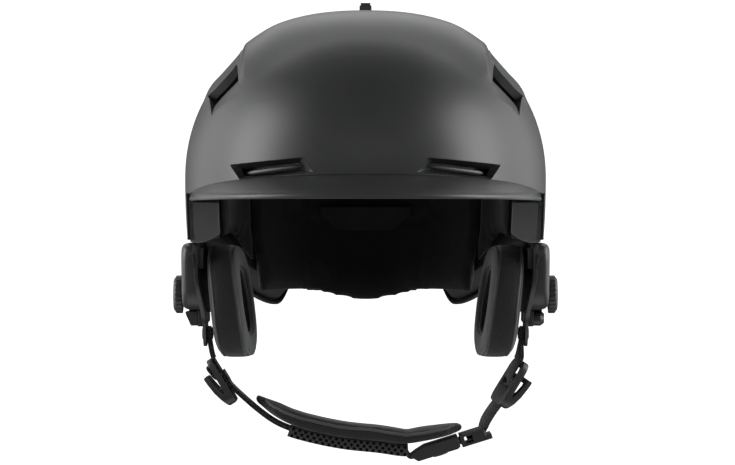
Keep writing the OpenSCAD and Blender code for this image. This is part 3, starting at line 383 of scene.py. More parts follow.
def softbox(name, at, aim, size, watts):
    """Soft light that shines on the helmet and isn't seen itself."""
    light = bpy.data.lights.new(name, "AREA")
    light.shape = "RECTANGLE"
    light.size, light.size_y = size
    light.energy = watts
    ob = place(name, light)
    ob.location = at
    ob.rotation_euler = (Vector(aim) - Vector(at)).to_track_quat("-Z", "Y").to_euler()
    ob.visible_camera = False


for side, tag in SIDES:
    softbox("side_" + tag, (side * 1.35, -0.2, 0.25), (0, 0, -0.06), (0.8, 1.4), 24)
    softbox("rim_" + tag, (side * 1.25, 0.75, 0.1), (0, 0, -0.1), (0.9, 1.4), 7)
softbox("top", (0, 1.2, 1.15), (0, 0, -0.03), (2.0, 1.0), 13)
softbox("low", (0, -0.5, -1.6), (0, 0, -0.2), (2.4, 1.6), 14)
softbox("front", (0, -2.0, 0.5), (0, 0, -0.1), (1.6, 1.2), 4.2)


def stage(name, verts, faces, strength):
    """Glowing white surface that casts nothing on the helmet."""
    me = bpy.data.meshes.new(name)
    me.from_pydata(verts, [], faces)
    ob = place(name, me)
    mat = bpy.data.materials.new(name)
    mat.use_nodes = True
    settle(mat.node_tree.nodes["Principled BSDF"],
           {"Base Color": (0.9, 0.9, 0.9, 1), "Roughness": 0.8, "Emission Color": (1, 1, 1, 1),
            "Emission Strength": strength})
    me.materials.append(mat)
    ob.visible_diffuse = ob.visible_glossy = ob.visible_shadow = False


FLOOR_Z, ROOM_R, ROOM_TOP, ROOM_SIDES = -1.70, 9, 12, 32
stage("floor", [(x * ROOM_R, y * ROOM_R, FLOOR_Z) for x, y in ((-1, -1), (1, -1), (1, 1), (-1, 1))],
      [(0, 1, 2, 3)], 1.0)
ring = [(ROOM_R * math.cos(t), ROOM_R * math.sin(t)) for t in around(ROOM_SIDES)]
walls = [(i, (i + 1) % ROOM_SIDES, ROOM_SIDES + (i + 1) % ROOM_SIDES, ROOM_SIDES + i)
         for i in range(ROOM_SIDES)]
stage("backdrop", [(x, y, z) for z in (FLOOR_Z - 0.01, ROOM_TOP) for x, y in ring],
      walls + [tuple(range(ROOM_SIDES, 2 * ROOM_SIDES))], 1.1)


# ----- shell -----
SCOOP_Y, CROWN_REACH = -71, 108  # where the scoops start; the crown's reach to front and back
FRONT_PULL, BACK_PULL, NOSE_PULL = 1.5, 16, 30


def crown_edge(y):
    """Half width of the raised crown, which narrows to the front and to the back."""
    return (SHELL_HALF - FRONT_PULL * np.clip(y / SCOOP_Y, 0, 1) - BACK_PULL * np.clip(y / 110, 0, 1) ** 2
            - NOSE_PULL * ease(SCOOP_Y, -CROWN_REACH, y))


def crown_rise(x, y):
    """Height of the crown over the dome, run out at front and back and lower at its edges."""
    w = ease(-86, -38, y) * ease(112, 84, y)
    return w * (1 - 0.3 * ease(50, 72, np.abs(x))) * (dome_z(x, y, PLATEAU_N) - dome_z(x, y))


LIP_X, LIP_RUN, LIP_Y, LIP_RISE = 75.2, 17.0, (-50.0, -39.5), 0.9  # inner end, width, Y at its ends, height


def scoop_lip(x, y):
    """Height of the low lip behind each scoop, raised at its two ends."""
    u = (np.abs(x) - LIP_X) / LIP_RUN
    line = mix(*LIP_Y, np.clip(u, 0, 1))
    high = LIP_RISE * (1 - 2 * np.clip(u, 0, 0.5)) ** 2 + LIP_RISE * ease(0.6, 1.0, u)
    return high * ease(-0.3, 0, u) * ease(1.3, 1.05, u) * ease(-3, 0, y - line) * ease(70, 30, y)


COLS = 288
AZS = np.arange(COLS) * 360 / COLS
INSIDE = 0.9999  # keeps points just off the widest line, where the dome stands upright


def crown_radius(az):
    """Distance from the middle to the raised crown's edge."""
    s, c = np.abs(np.sin(np.radians(az))), np.cos(np.radians(az))
    low, high = np.full_like(az, 10.0), plan_r(az) * 0.985
    for _ in range(40):
        r = (low + high) / 2
        x, y = r * s, MID_Y - r * c
        out = (x / crown_edge(y)) ** 10 + (np.abs(y) / CROWN_REACH) ** 10 > 1
        low, high = np.where(out, low, r), np.where(out, r, high)
    return low


def shell_grid(d):
    """Rows by columns of the shell's outer face (d = 0) or inner face."""
    r_edge = crown_radius(AZS)
    r_wide = plan_r(AZS)
    edge = [-6, -4, -2.4, -1.4, -0.8, -0.4, 0, 0.4, 0.8, 1.2, 1.6, 2.0, 2.4, 2.9, 3.8, 5.5, 8]
    rows = [(t * (r_edge - 7.5), None) for t in np.linspace(0, 1, 26)[1:]]
    rows += [(r_edge + e, e) for e in edge]
    rows += [(mix(r_edge + 11, r_wide * INSIDE, t), 20) for t in np.sin(np.radians(np.linspace(0, 90, 26)))]
    grid = []
    a = np.radians(AZS)
    for r, e in rows:
        r = np.minimum(r, r_wide * INSIDE)
        x, y = r * np.sin(a), MID_Y - r * np.cos(a)
        rise = 1 - ease(-2.4, 1.9, e) if e is not None else 1.0
        if d:
            k = (plan_r(AZS, d) / r_wide)
            x, y = x * k, MID_Y + (y - MID_Y) * k
            grid.append(np.stack([x, y, dome_z(x, y, d=d)], -1))
        else:
            lip = np.zeros((COLS, 3))
            if e is None or e > 0:
                lip = scoop_lip(x, y)[:, None] * dome_normal(np.clip(x, -r_wide * 0.97, r_wide * 0.97), y)
            grid.append(np.stack([x, y, dome_z(x, y) + rise * crown_rise(x, y)], -1) + lip)
    for t in np.linspace(0, 1, 15)[1:]:
        grid.append(skin(AZS, np.minimum(-0.02, rim(AZS) * t), d))
    return np.array(grid)


def shell_solid():
    """Closed shell: the grids of both faces, with the top ring closed by a fan on each."""
    outer, inner = shell_grid(0), shell_grid(SHELL_T)
    verts, faces = slab(outer, inner, wrap=True)
    n, rows = len(verts) // 2, outer.shape[0]
    faces = [f for f in faces if not (f[0] < COLS and f[1] < COLS and max(f) >= n and min(f[2:]) < n + COLS)]
    verts = np.concatenate([verts, [[0, MID_Y, CROWN_H], [0, MID_Y, CROWN_H - SHELL_T]]])
    return verts, faces + fan(2 * n, 0, COLS) + fan(2 * n + 1, n, COLS, -1)


SCOOP = np.array([[[72.5, -84], [89.4, -65.5]], [[75.2, -52], [92.6, -41]]])  # front edge, then slot line
SCOOP_DEPTH, SCOOP_BOW, SCOOP_LEAN = 6.0, 3.8, 0.45  # at the slot: depth, bow of its line, wall's lean


def scoop_wedge(low, high, grow=0.0):
    """Wedge over a scoop, from its floor (low, deeper at the slot) up to high, grown past its edges."""
    steps = np.linspace(-grow, 1 + grow, 14)
    u, v = np.meshgrid(steps, steps)
    front = mix(SCOOP[0, 0], SCOOP[0, 1], u[..., None])
    back = mix(SCOOP[1, 0], SCOOP[1, 1], u[..., None])
    p = mix(front, back, v[..., None])
    p[..., 1] -= SCOOP_BOW * 4 * np.clip(u * (1 - u), 0, 1) * v
    floor = on_dome(p, low - SCOOP_DEPTH * np.clip(v, 0, 1))
    lean = np.stack([0 * v, SCOOP_LEAN * (high - low) * v], -1)
    return slab(on_dome(p + lean, np.full(u.shape, float(high))), floor)


def mirrored(verts, faces):
    v = np.array(verts, float)
    v[:, 0] *= -1
    return v, [f[::-1] for f in faces]


def boolean(ob, cutters, operation):
    """Joins solids to a piece, or cuts them out of it, one after the other."""
    for cutter in cutters:
        tool = solid("tool", cutter, body=None)
        modify(ob, "BOOLEAN", operation=operation, solver="EXACT", object=tool)
        bake(ob)
        bpy.data.objects.remove(tool)
    return ob


BOX_FACES = [(0, 1, 3, 2), (4, 6, 7, 5), (0, 4, 5, 1), (2, 3, 7, 6), (0, 2, 6, 4), (1, 5, 7, 3)]


def box(lo, hi):
    v = [(x, y, z) for x in (lo[0], hi[0]) for y in (lo[1], hi[1]) for z in (lo[2], hi[2])]
    return np.array(v, float), BOX_FACES


def prism(outline, y0, y1):
    """Prism of a front-view outline of x and z between two places along Y."""
    v = [(x, y, z) for y in (y0, y1) for x, z in outline]
    k = len(outline)
    return np.array(v, float), ([tuple(range(k)), tuple(range(2 * k - 1, k - 1, -1))]
                                + [(j, k + j, k + (j + 1) % k, (j + 1) % k) for j in range(k)])


def both(shape):
    return [shape, mirrored(*shape)]


def rounded(outline, r=1.0, steps=4):
    """Outline with rounded corners."""
    pts, out = np.array(outline, float), []
    for i, p in enumerate(pts):
        a, b = pts[i - 1] - p, pts[(i + 1) % len(pts)] - p
        a, b = a / np.linalg.norm(a), b / np.linalg.norm(b)
        for t in np.linspace(0, 1, steps + 1):
            out.append(p + a * r * (1 - t) ** 2 + b * r * t ** 2)
    return np.array(out)


# Front-view outlines of the vents: brow vent outside and inside, and rear outlet
BROW = [(34.8, WIDE_Z + 9.4), (77.2, WIDE_Z + 6), (71.2, WIDE_Z - 2.6), (28.2, WIDE_Z + 0.8)]
BROW_IN = [(37.2, WIDE_Z + 6.8), (70.5, WIDE_Z + 3.4), (68.6, WIDE_Z - 0.6), (34.0, WIDE_Z + 2.8)]
OUTLET = [(26, WIDE_Z + 62), (58, WIDE_Z + 50), (60, WIDE_Z + 42), (24, WIDE_Z + 54)]

shell = solid("shell", shell_solid(), SHELL, replaces=("outer_shell",), slot="shell")
boolean(shell, both(scoop_wedge(-SHELL_T, -1.2, 0.05)), "UNION")
# The slot at each scoop's deep end: a slanting box along the slot line
slot_end = [on_dome(np.array(p, float) + (0, -3), np.array(-SCOOP_DEPTH + 1.1)) for p in SCOOP[1]]
slot_dir = (slot_end[1] - slot_end[0]) / np.linalg.norm(slot_end[1] - slot_end[0])
slot_n = dome_normal(np.array(83.5), np.array(-45.0))
slot_in = np.cross(slot_dir, slot_n)
slot_in *= np.sign(slot_in[1])
SLOT_DEPTH, SLOT_HEIGHT, SLOT_SHORT = (-4.5, 9), (-1.0, 1.3), -0.8
corner = [slot_end[e] + slot_dir * (2 * e - 1) * SLOT_SHORT + slot_in * b + slot_n * c
          for e in (0, 1) for b in SLOT_DEPTH for c in SLOT_HEIGHT]
slot_box = (np.array(corner), BOX_FACES)
FRONT_CUT, BACK_CUT = (-170, -40), (40, 170)  # how far the vents' prisms reach along Y
cuts = both(scoop_wedge(0, 14)) + both(slot_box)
cuts += both(prism(rounded(BROW), *FRONT_CUT)) + both(prism(rounded(OUTLET, 2.0), *BACK_CUT))
slider_slot = box((-3.95, -14.3, 0), (3.95, 10.3, 60))
shutter_slots = [box((s * x - 2.25, 6, 0), (s * x + 2.25, 17, 60)) for x in (9.5, 16) for s in (1, -1)]
cuts += [slider_slot] + shutter_slots
boolean(shell, cuts, "DIFFERENCE")
dress(shell, SHELL, None, angle=32)


# ----- brim -----
def brim_section(az):
    """Section of the brim: its top from crease to lip, round the lip and back under to the shell."""
    fade = math.cos(math.radians(90 * abs(az) / (TEMPLE_AZ - 0.6))) ** 1.2
    out, r0, foot = BRIM_REACH * fade, float(plan_r(az)), -BRIM_DROP
    a, c = math.radians(az), float(crease(az))
    t = float(1 - tuck(az, -c))

    def at(r, lat):
        return [r * math.sin(a), MID_Y - r * math.cos(a), WIDE_Z + lat]

    top = [at(r0 * t + out * f - 0.3 * math.sin(math.pi * f),
              mix(c - 0.15, foot + LIP_H, f ** 1.06) - 0.9 * fade * math.sin(math.pi * f))
           for f in (0, 0.12, 0.3, 0.5, 0.7, 0.86)]
    return top + [at(r0 + out - 0.9, foot + LIP_H + 0.1), at(r0 + out - 0.2, foot + LIP_H - 0.7),
                  at(r0 + out, foot + 1.2), at(r0 + out - 0.5, foot + 0.2), at(r0 + out - 1.6, foot),
                  at(r0 + out * 0.5 - 1.2, foot + 0.7), at(r0 - SHELL_T, foot + 1.2),
                  at(r0 - SHELL_T - 6, foot + 1.6), at(r0 - SHELL_T - 6, foot + 3.6),
                  at(r0 - SHELL_T + 0.6, foot + 3.4), at((r0 - SHELL_T) * t, c - 0.15)]


BRIM_END = TEMPLE_AZ - 1.6
solid("brim_peak", loft([brim_section(a) for a in np.linspace(-BRIM_END, BRIM_END, 97)]), SHELL,
      replaces=("brim",), slot="shell", angle=38)


# ----- more mesh helpers -----
def merge(solids):
    """One set of points and faces from several."""
    verts, faces, n = [], [], 0
    for v, f in solids:
        verts.append(np.asarray(v, float))
        faces += [tuple(i + n for i in q) for q in f]
        n += len(v)
    return np.concatenate(verts), faces


def coords(ob):
    a = np.empty(len(ob.data.vertices) * 3)
    ob.data.vertices.foreach_get("co", a)
    return a.reshape(-1, 3)


def move_to(ob, a):
    ob.data.vertices.foreach_set("co", a.ravel())
    ob.data.update()


def unit(v):
    return v / np.linalg.norm(v, axis=-1, keepdims=True)


def turn(v, k, degrees):
    """Vectors turned about unit axes k."""
    a = np.radians(degrees)[..., None]
    along = k * (np.sum(k * v, -1, keepdims=True))
    return v * np.cos(a) + np.cross(k, v) * np.sin(a) + along * (1 - np.cos(a))


def spline(points, n=8, loop=False):
    """Smooth line through points, n steps from one to the next."""
    p = np.asarray(points, float)
    if loop:
        q = np.concatenate([p[-1:], p, p[:2]])
    else:
        q = np.concatenate([[2 * p[0] - p[1]], p, [2 * p[-1] - p[-2]]])
    out = []
    for i in range(len(q) - 3):
        a, b, c, d = q[i:i + 4]
        t = np.arange(n)[:, None] / n
        out.append(0.5 * (2 * b + (c - a) * t + (2 * a - 5 * b + 4 * c - d) * t ** 2
                          + (3 * b - a - 3 * c + d) * t ** 3))
    line = np.concatenate(out)
    return line if loop else np.concatenate([line, p[-1:]])


def lengths(line):
    """Distance run along a line at each of its points."""
    return np.concatenate([[0], np.cumsum(np.linalg.norm(np.diff(line, axis=0), axis=1))])


def tube(path, r, loop=False, k=10, up=(0, 1, 0)):
    """Solid tube with k sides along a line that nowhere runs along up."""
    p = np.asarray(path, float)
    if loop:
        d = unit(np.roll(p, -1, 0) - np.roll(p, 1, 0))
    else:
        d = unit(np.gradient(p, axis=0))
    a = unit(np.cross(d, np.array(up, float)))
    b = np.cross(a, d)
    radius = np.broadcast_to(r, (len(p),))
    rings = [[p[i] + radius[i] * (math.cos(t) * a[i] + math.sin(t) * b[i]) for t in around(k)]
             for i in range(len(p))]
    return loft(rings, loop)


def band(path, width, thick, twist=0.0):
    """Strip of webbing along a line in the XZ plane, its width along Y turned by twist degrees."""
    p = np.asarray(path, float)
    d = unit(np.gradient(p, axis=0))
    y = turn(np.broadcast_to([0.0, 1.0, 0.0], d.shape), d, np.broadcast_to(twist, (len(p),)).astype(float))
    n = np.cross(y, d)
    w, t, edge = width / 2, thick / 2, 0.35
    profile = [(w, t - edge), (w - edge, t), (0, t), (-w + edge, t), (-w, t - edge),
               (-w, edge - t), (-w + edge, -t), (0, -t), (w - edge, -t), (w, edge - t)]
    rings = [[p[i] + y[i] * a + n[i] * b for a, b in profile] for i in range(len(p))]
    uv = np.array([[r, a] for r in lengths(p) for a, b in profile])
    return loft(rings), uv


def webbing(name, strips, replaces):
    """Straps of the chin loop, with a weave laid out along their length."""
    ob = solid(name, merge([s[0] for s in strips]), WEAVE, "chin_loop", replaces=(replaces,), slot="webbing",
               angle=50)
    uv = np.concatenate([s[1] for s in strips]) * MM
    index = np.empty(len(ob.data.loops), int)
    ob.data.loops.foreach_get("vertex_index", index)
    ob.data.uv_layers.new(name="uv").data.foreach_set("uv", uv[index].ravel())


PAD_PRESSURE, PAD_FRAMES, PAD_FILL = 4.0, 20, 0.7


def puff(ob, voxel, cap):
    """Swells a pad by cloth simulation; no point moves more than cap."""
    modify(ob, "REMESH", mode="VOXEL", voxel_size=voxel * MM)
    bake(ob)
    before = coords(ob)
    cloth = modify(ob, "CLOTH").settings
    cloth.quality = 5
    cloth.use_pressure = True
    cloth.uniform_pressure_force = PAD_PRESSURE
    cloth.effector_weights.gravity = 0
    for n in range(1, PAD_FRAMES + 1):
        bpy.context.scene.frame_set(n)
    bake(ob)
    bpy.context.scene.frame_set(1)
    step = coords(ob) - before
    size = np.linalg.norm(step, axis=1, keepdims=True)
    move_to(ob, before + step * np.minimum(1, cap * MM / np.maximum(size, 1e-9)))
    modify(ob, "SMOOTH", factor=0.5, iterations=4)
    modify(ob, "SUBSURF", levels=1, render_levels=1)
    bake(ob)
    dress(ob, None, None)
    return ob


def cushion(name, shape, replaces, voxel, cap, body="helmet"):
    """Fabric pad from a closed shape."""
    return puff(solid(name, shape, FABRIC, body, replaces=(replaces,), slot="pad_fabric"), voxel, cap)


def bevel(ob, width, segments, angle, **more):
    modify(ob, "BEVEL", width=width * MM, segments=segments, limit_method="ANGLE",
           angle_limit=math.radians(angle), **more)


def eased(ob, mat, width, segments):
    """Rounds a piece's edges of more than 50 degrees for good."""
    bevel(ob, width, segments, 50)
    dress(bake(ob), mat, None, angle=50)


def nearest(ob, points):
    """The nearest places on a piece's surface."""
    tree = BVHTree.FromPolygons([v.co for v in ob.data.vertices], [f.vertices for f in ob.data.polygons])
    return np.array([tree.find_nearest(Vector(p) * MM)[0] for p in points]) / MM


def twin(ob, slot, replaces=()):
    """Mirrored copy of a left piece on the wearer's right side."""
    me = ob.data.copy()
    me.transform(Matrix.Scale(-1, 4, (1, 0, 0)))
    me.flip_normals()
    other = dress(place(ob.name.replace("left", "right"), me), replaces=replaces, slot=slot)


def soften(node):
    """Rounds the edges of a CAD node's shown mesh."""
    ob = NODES[node]
    modify(ob, "WELD", merge_threshold=1e-6)
    bevel(ob, 0.4, 2, 35, use_clamp_overlap=True, harden_normals=False)


def grow(outline, g):
    """Convex outline with each side moved outward by g."""
    p = np.array(outline, float)
    out = []
    c = p.mean(0)
    for i in range(len(p)):
        a, b, d = p[i - 1], p[i], p[(i + 1) % len(p)]
        lines = []
        for u, v in ((a, b), (b, d)):
            t = (v - u) / np.linalg.norm(v - u)
            n = np.array([t[1], -t[0]])
            n *= np.sign(np.dot(n, (u + v) / 2 - c))
            lines.append((u + n * g, t))
        (u, t), (v, w) = lines
        k = np.linalg.solve(np.array([t, -w]).T, v - u)
        out.append(u + t * k[0])
    return np.array(out)


# ----- brow vents -----
def vent_ring(outline, depth, g):
    """A vent's outline grown by g, laid at a depth behind the shell's face."""
    q = rounded(grow(outline, g), 1.0, 3)
    return np.stack([q[:, 0], front_y(q[:, 0], q[:, 1]) + depth, q[:, 1]], -1)


tray = loft([vent_ring(BROW_IN, 14.0, 0.9), vent_ring(BROW_IN, 7.0, 0.9), vent_ring(BROW, 2.7, -0.05),
             vent_ring(BROW, 0.45, -0.05), vent_ring(BROW, 0.35, -0.25), vent_ring(BROW_IN, 6.0, 0),
             vent_ring(BROW_IN, 13.2, -0.1)])
BAR_X, BAR_Z = (35.0, 66.5), (WIDE_Z + 4.4, WIDE_Z + 1.0)
bar_line = np.stack([np.linspace(*BAR_X, 20), np.zeros(20), np.linspace(*BAR_Z, 20)], -1)
bar_line[:, 1] = front_y(bar_line[:, 0], bar_line[:, 2]) + 5.2
bar_r = 1.55 * np.sqrt(np.clip(1 - np.abs(np.linspace(-1, 1, 20)) ** 8, 0.05, 1))  # round ends
bar = tube(bar_line, bar_r, k=12, up=(0, 0, 1))
for (_, tag), duct in zip(SIDES, both(merge([tray, bar]))):
    solid("brow_duct_" + tag, duct, TRIM, replaces=("brow_vent_" + tag,), slot="trim", angle=40)


# ----- trims -----
def temple_grid(az):
    """Face of the panel that closes the shell and foam at the temple."""
    d = np.linspace(0.0, FOAM_D + FOAM_T, 13)
    t = np.linspace(0, 1, 15)
    rows = []
    for e in d:
        k = e / d[-1]
        low = SIDE_RIM - 2.4 * math.sin(math.pi * k) + 4 * k ** 2
        rows.append(skin(az, mix(-BRIM_DROP - 0.4, low, t), e))
    return np.array(rows)


# The panel wears the lightened shell colour: painted light.
panel = solid("temple_panel_left", slab(temple_grid(TEMPLE_AZ - 0.6), temple_grid(TEMPLE_AZ - 1.9)), TEMPLE_PAINTED_LIGHT,
              replaces=("temple_trim_left",), slot="shell")
eased(panel, TEMPLE_PAINTED_LIGHT, 0.7, 3)
twin(panel, "shell", ("temple_trim_right",))


def trim_section(az):
    """Section of the rubber bead round the shell's lower edge."""
    low = float(rim(az))
    d, lat = [], []
    for t in around(14):
        d.append(2.1 + 2.5 * power(math.cos(t), 0.6))
        lat.append(low - 1.2 + 1.35 * power(math.sin(t), 0.7))
    return [skin(az, b, a) for a, b in zip(d, lat)]


solid("edge_bead", loft([trim_section(a) for a in np.linspace(112, 248, 171)]), RUBBER,
      replaces=("edge_trim",), slot="trim", angle=50)


# ----- foam liner -----
def foam_low(az):
    """The foam's lower edge, below the widest line."""
    a = np.abs((az + 180) % 360 - 180)
    return np.where(a < TEMPLE_AZ, np.maximum(crease(a) - 4, 4.2 - BRIM_DROP), rim(az) + 0.5)


# Columns lie closer where the edge steps at the temples
cols = np.unique(np.concatenate([np.arange(0, 360, 2.5), [66, 67.6, 68.4, 70, 290, 291.6, 292.4, 294]]))
azs = (cols + 180) % 360 - 180
low = foam_low(azs)


def nape_cut(az):
    """How far the foam's lower edge rises towards its inner face behind the ears."""
    a = np.abs((az + 180) % 360 - 180)
    return 8.0 * ease(122, 138, a) * ease(172, 160, a)


def foam_grid(d, lift):
    """One face of the foam at inset d, its lower edge raised by lift."""
    rows = [skin(azs, np.full(len(azs), 90.0 * (1 - t)), d) for t in np.linspace(0.04, 0.999, 30)]
    rows += [skin(azs, np.minimum(-0.02, (low + lift) * t), d) for t in np.linspace(0.05, 1, 12)]
    return np.array(rows)


cut = nape_cut(cols)
outer, inner = foam_grid(FOAM_D, 1.2), foam_grid(FOAM_D + FOAM_T, 1.2 + cut)
edge_rows = [skin(azs, np.minimum(-0.02, low + b + cut * (a - FOAM_D) / FOAM_T), a)
             for a, b in ((FOAM_D + 0.4, 0.4), (FOAM_D + 1.5, 0.0), (FOAM_D + 10, 0.0),
                          (FOAM_D + FOAM_T - 1.5, 0.0), (FOAM_D + FOAM_T - 0.4, 0.4))]
rings = np.concatenate([outer, edge_rows, inner[::-1]])
n = len(cols)
verts = np.concatenate([rings.reshape(-1, 3), [skin(0, 90, FOAM_D)], [skin(0, 90, FOAM_D + FOAM_T)]])
faces = grid_faces(len(rings), n, True)
faces += fan(len(verts) - 2, 0, n, -1) + fan(len(verts) - 1, (len(rings) - 1) * n, n)
foam = solid("foam_core", (verts, faces), FOAM, replaces=("foam_liner",), slot="foam")
cuts = both(scoop_wedge(-SHELL_T - 1.2, 12, 0.08))
cuts += both(loft([vent_ring(BROW_IN, depth, g) for depth, g in ((-6.0, 4.5), (6.5, 4.5), (15.0, 1.5))]))
cuts += both(prism(grow(OUTLET, 0.5), *BACK_CUT))
slider_bay = box((-22.3, -23.3, 19.5), (22.3, 37.3, 60))
housing_bay = box((-34, 102.7, -140.5), (34, 116, -117.5))
clip_bay = box((-13, 102.7, -130), (13, 160, -109))
cuts += [slider_bay, housing_bay, clip_bay]
cuts += both(box((95.5, -33, -126), (112, 35, -88)))  # room for the ear plates' lugs
boolean(foam, cuts, "DIFFERENCE")
dress(foam, FOAM, None, angle=40)


# ----- comfort pads -----
def pad_solid(turns, top, low, d0, d1, rows):
    """Slab that follows the shell's form from top(azimuth) to low(azimuth), between two insets."""
    t = np.linspace(0, 1, rows)

    def face(d):
        return np.array([[skin(a, float(mix(top(a), low(a), k)), d) for k in t] for a in turns])

    return slab(face(d0), face(d1))


def rear_low(az):
    """The rear pad's lower edge: lowest at the nape, and rising behind the ears."""
    a = abs(az - 180)
    return -75.8 + 6.6 * float(ease(0, 27, a)) - 1.3 * float(ease(30, 46, a))


# The solids are thinner than the pads, which swell by puff's cap
rear = pad_solid(np.linspace(127.5, 232.5, 40), lambda a: 7.0, rear_low, PAD_D + 1.0, PAD_IN - 1.4, 30)
cushion("rear_cushion", rear, "rear_pad", 2.1, 1.6)

cheek = pad_solid(np.linspace(74, 126.4, 22), lambda a: 5.0, lambda a: float(rim(a)) + 2.7,
                  PAD_D + 1.0, PAD_IN - 1.3, 16)
cheek_pad = cushion("side_cushion_left", cheek, "side_pad_left", 2.6, 1.5)
twin(cheek_pad, "pad_fabric", ("side_pad_right",))

brow = pad_solid(np.linspace(-50, 50, 40), lambda a: 9.0, lambda a: float(crease(a)) - 6.0,
                 BAND_D + 1.0, PAD_IN - 1.3, 10)
cushion("brow_cushion", brow, "brow_pad", 2.8, 1.6)

CROWN_OUT, CROWN_IN, turned = BAND_D + 1.4, 29.5, np.arange(0, 360, 7.5)
crown = loft([skin(turned, np.full(len(turned), lat), d) for lat, d in
              ((88, CROWN_OUT), (76, CROWN_OUT), (65, CROWN_OUT), (63.5, BAND_D + 3.5),
               (65, CROWN_IN), (76, CROWN_IN), (88, CROWN_IN))])
cushion("crown_cushion", crown, "crown_pad", 2.8, 1.3)


# ----- ear pads -----
EAR_L, EAR_H, PAD_TOP, HOLE_R, RIM_N = 87.0, 69.0, WIDE_Z + SIDE_RIM - 2.4, 22.0, 2.9
PAD_MID = PAD_TOP - EAR_H / 2


def super_point(a, b, n, t):
    """Point at turn t of a superellipse with half axes a and b."""
    return np.array([a * power(math.cos(t), 2 / n), b * power(math.sin(t), 2 / n)])


def ear_point(t, f, s):
    """Point of the left ear pad: t round the ear, f from the hole out to the rim,
    s from the inner face (-1) to the outer (1)."""
    hole = HOLE_R - 3.6 * (1 - s)
    p = mix(super_point(hole, hole + 1.5, 2.2, t), super_point(EAR_L / 2, EAR_H / 2, RIM_N, t), f)
    h = p[1] - EAR_H / 2 + 2.6
    x_out = SHELL_W / 2 - 12.4 + 0.095 * h - 2.5 * float(ease(0.75, 1, -2 * p[1] / EAR_H))
    x_in = SHELL_W / 2 - 31.4 + 0.14 * h - 6 * (p[0] + EAR_L / 2) / EAR_L
    return [mix(x_in, x_out, (s + 1) / 2), EAR_Y + p[0], PAD_MID + p[1]]


def ear_ring(t):
    """Section of the ear pad: a rounded square between hole and rim."""
    return [ear_point(t, 0.5 + 0.46 * power(math.cos(a), 0.3), 0.87 * power(math.sin(a), 0.3))
            for a in around(24)]


SEAM_LEAN, SEAM_X = 0.14, ear_point(0, 1, -0.25)[0]  # the seam's lean outward, and its place at mid height


def paint_edge_light(ob):
    """Cuts the pad along its seam and gives its inner side, from the hole out, a lighter cloth: painted
    light, for the light from below on the pad's rim.
    """
    ob.data.materials.append(EDGE_PAINTED_LIGHT)
    bm = bmesh.new()
    bm.from_mesh(ob.data)
    bmesh.ops.bisect_plane(bm, geom=bm.verts[:] + bm.edges[:] + bm.faces[:],
                           plane_co=(SEAM_X * MM, 0, PAD_MID * MM), plane_no=(1, 0, -SEAM_LEAN))
    bm.to_mesh(ob.data)
    bm.free()
    for face in ob.data.polygons:
        x, y, z = face.center / MM
        across, high = abs((y - EAR_Y) / (EAR_L / 2)), abs((z - PAD_MID) / (EAR_H / 2))
        out = (across ** RIM_N + high ** RIM_N) ** (1 / RIM_N)
        if out > 0.6 and x < SEAM_X + SEAM_LEAN * (z - PAD_MID):
            face.material_index = 1


ear = cushion("ear_cushion_left", loft([ear_ring(t) for t in around(96)], True),
              "ear_pad_left", 3.0, 1.7)
paint_edge_light(ear)
twin(ear, "pad_fabric", ("ear_pad_right",))


def calm(line, passes=6):
    """Closed line with its small jumps evened out."""
    for _ in range(passes):
        line = line / 2 + (np.roll(line, 1, 0) + np.roll(line, -1, 0)) / 4
    return line


cords = [tube(calm(nearest(ear, [ear_point(t, f, s) for t in around(120)])), 0.75, True, 8, up=(1, 0, 0))
         for f, s in ((1.0, -0.95), (1.0, 0.8), (0.02, -0.95))]
piping = solid("ear_piping_left", merge(cords), PIPING, slot="pad_fabric")
twin(piping, "pad_fabric")


# ----- ear plates and pods -----
PLATE_T, POD_X = 2.6, SHELL_W / 2 + 0.8
PLATE_X, PLATE_LEAN = 102.2, 4.2  # outer face at its top, and how far its foot leans in


def plate_x(z):
    """Outer face of the ear plate: upright at its top, leaning in below."""
    return PLATE_X - PLATE_LEAN * ease(-124, -158, z)


def face_solid(outline, x_out, x_in, r=0.0):
    """Solid over a side-view outline of y and z, from x_in(z) out to x_out(z); r rounds its outer edge."""
    q = np.array(outline, float)
    c = q.mean(0)
    reach = np.linalg.norm(q - c, axis=1).min()
    outer, inner = [], []
    for k in (0.2, 0.4, 0.6, 0.75, 0.86, 0.93, 0.97, 0.99, 1.0):
        p = c + (q - c) * k
        e = max(0.0, r - (1 - k) * reach)
        drop = r - math.sqrt(max(0.0, r * r - e * e))
        outer.append(np.stack([x_out(p[:, 1]) - drop, p[:, 0], p[:, 1]], -1))
        inner.append(np.stack([x_in(p[:, 1]), p[:, 0], p[:, 1]], -1))
    outer, inner = np.array(outer), np.array(inner)
    verts, faces = slab(outer, inner, True)
    m, total = len(q), len(verts) // 2
    faces = [f for f in faces if not (min(f) < m and max(f) >= total and max(f) < total + m)]
    mid = [[float(x_out(np.array(c[1]))), c[0], c[1]], [float(x_in(np.array(c[1]))), c[0], c[1]]]
    verts = np.concatenate([verts, mid])
    return verts, faces + fan(2 * total, 0, m) + fan(2 * total + 1, total, m, -1)


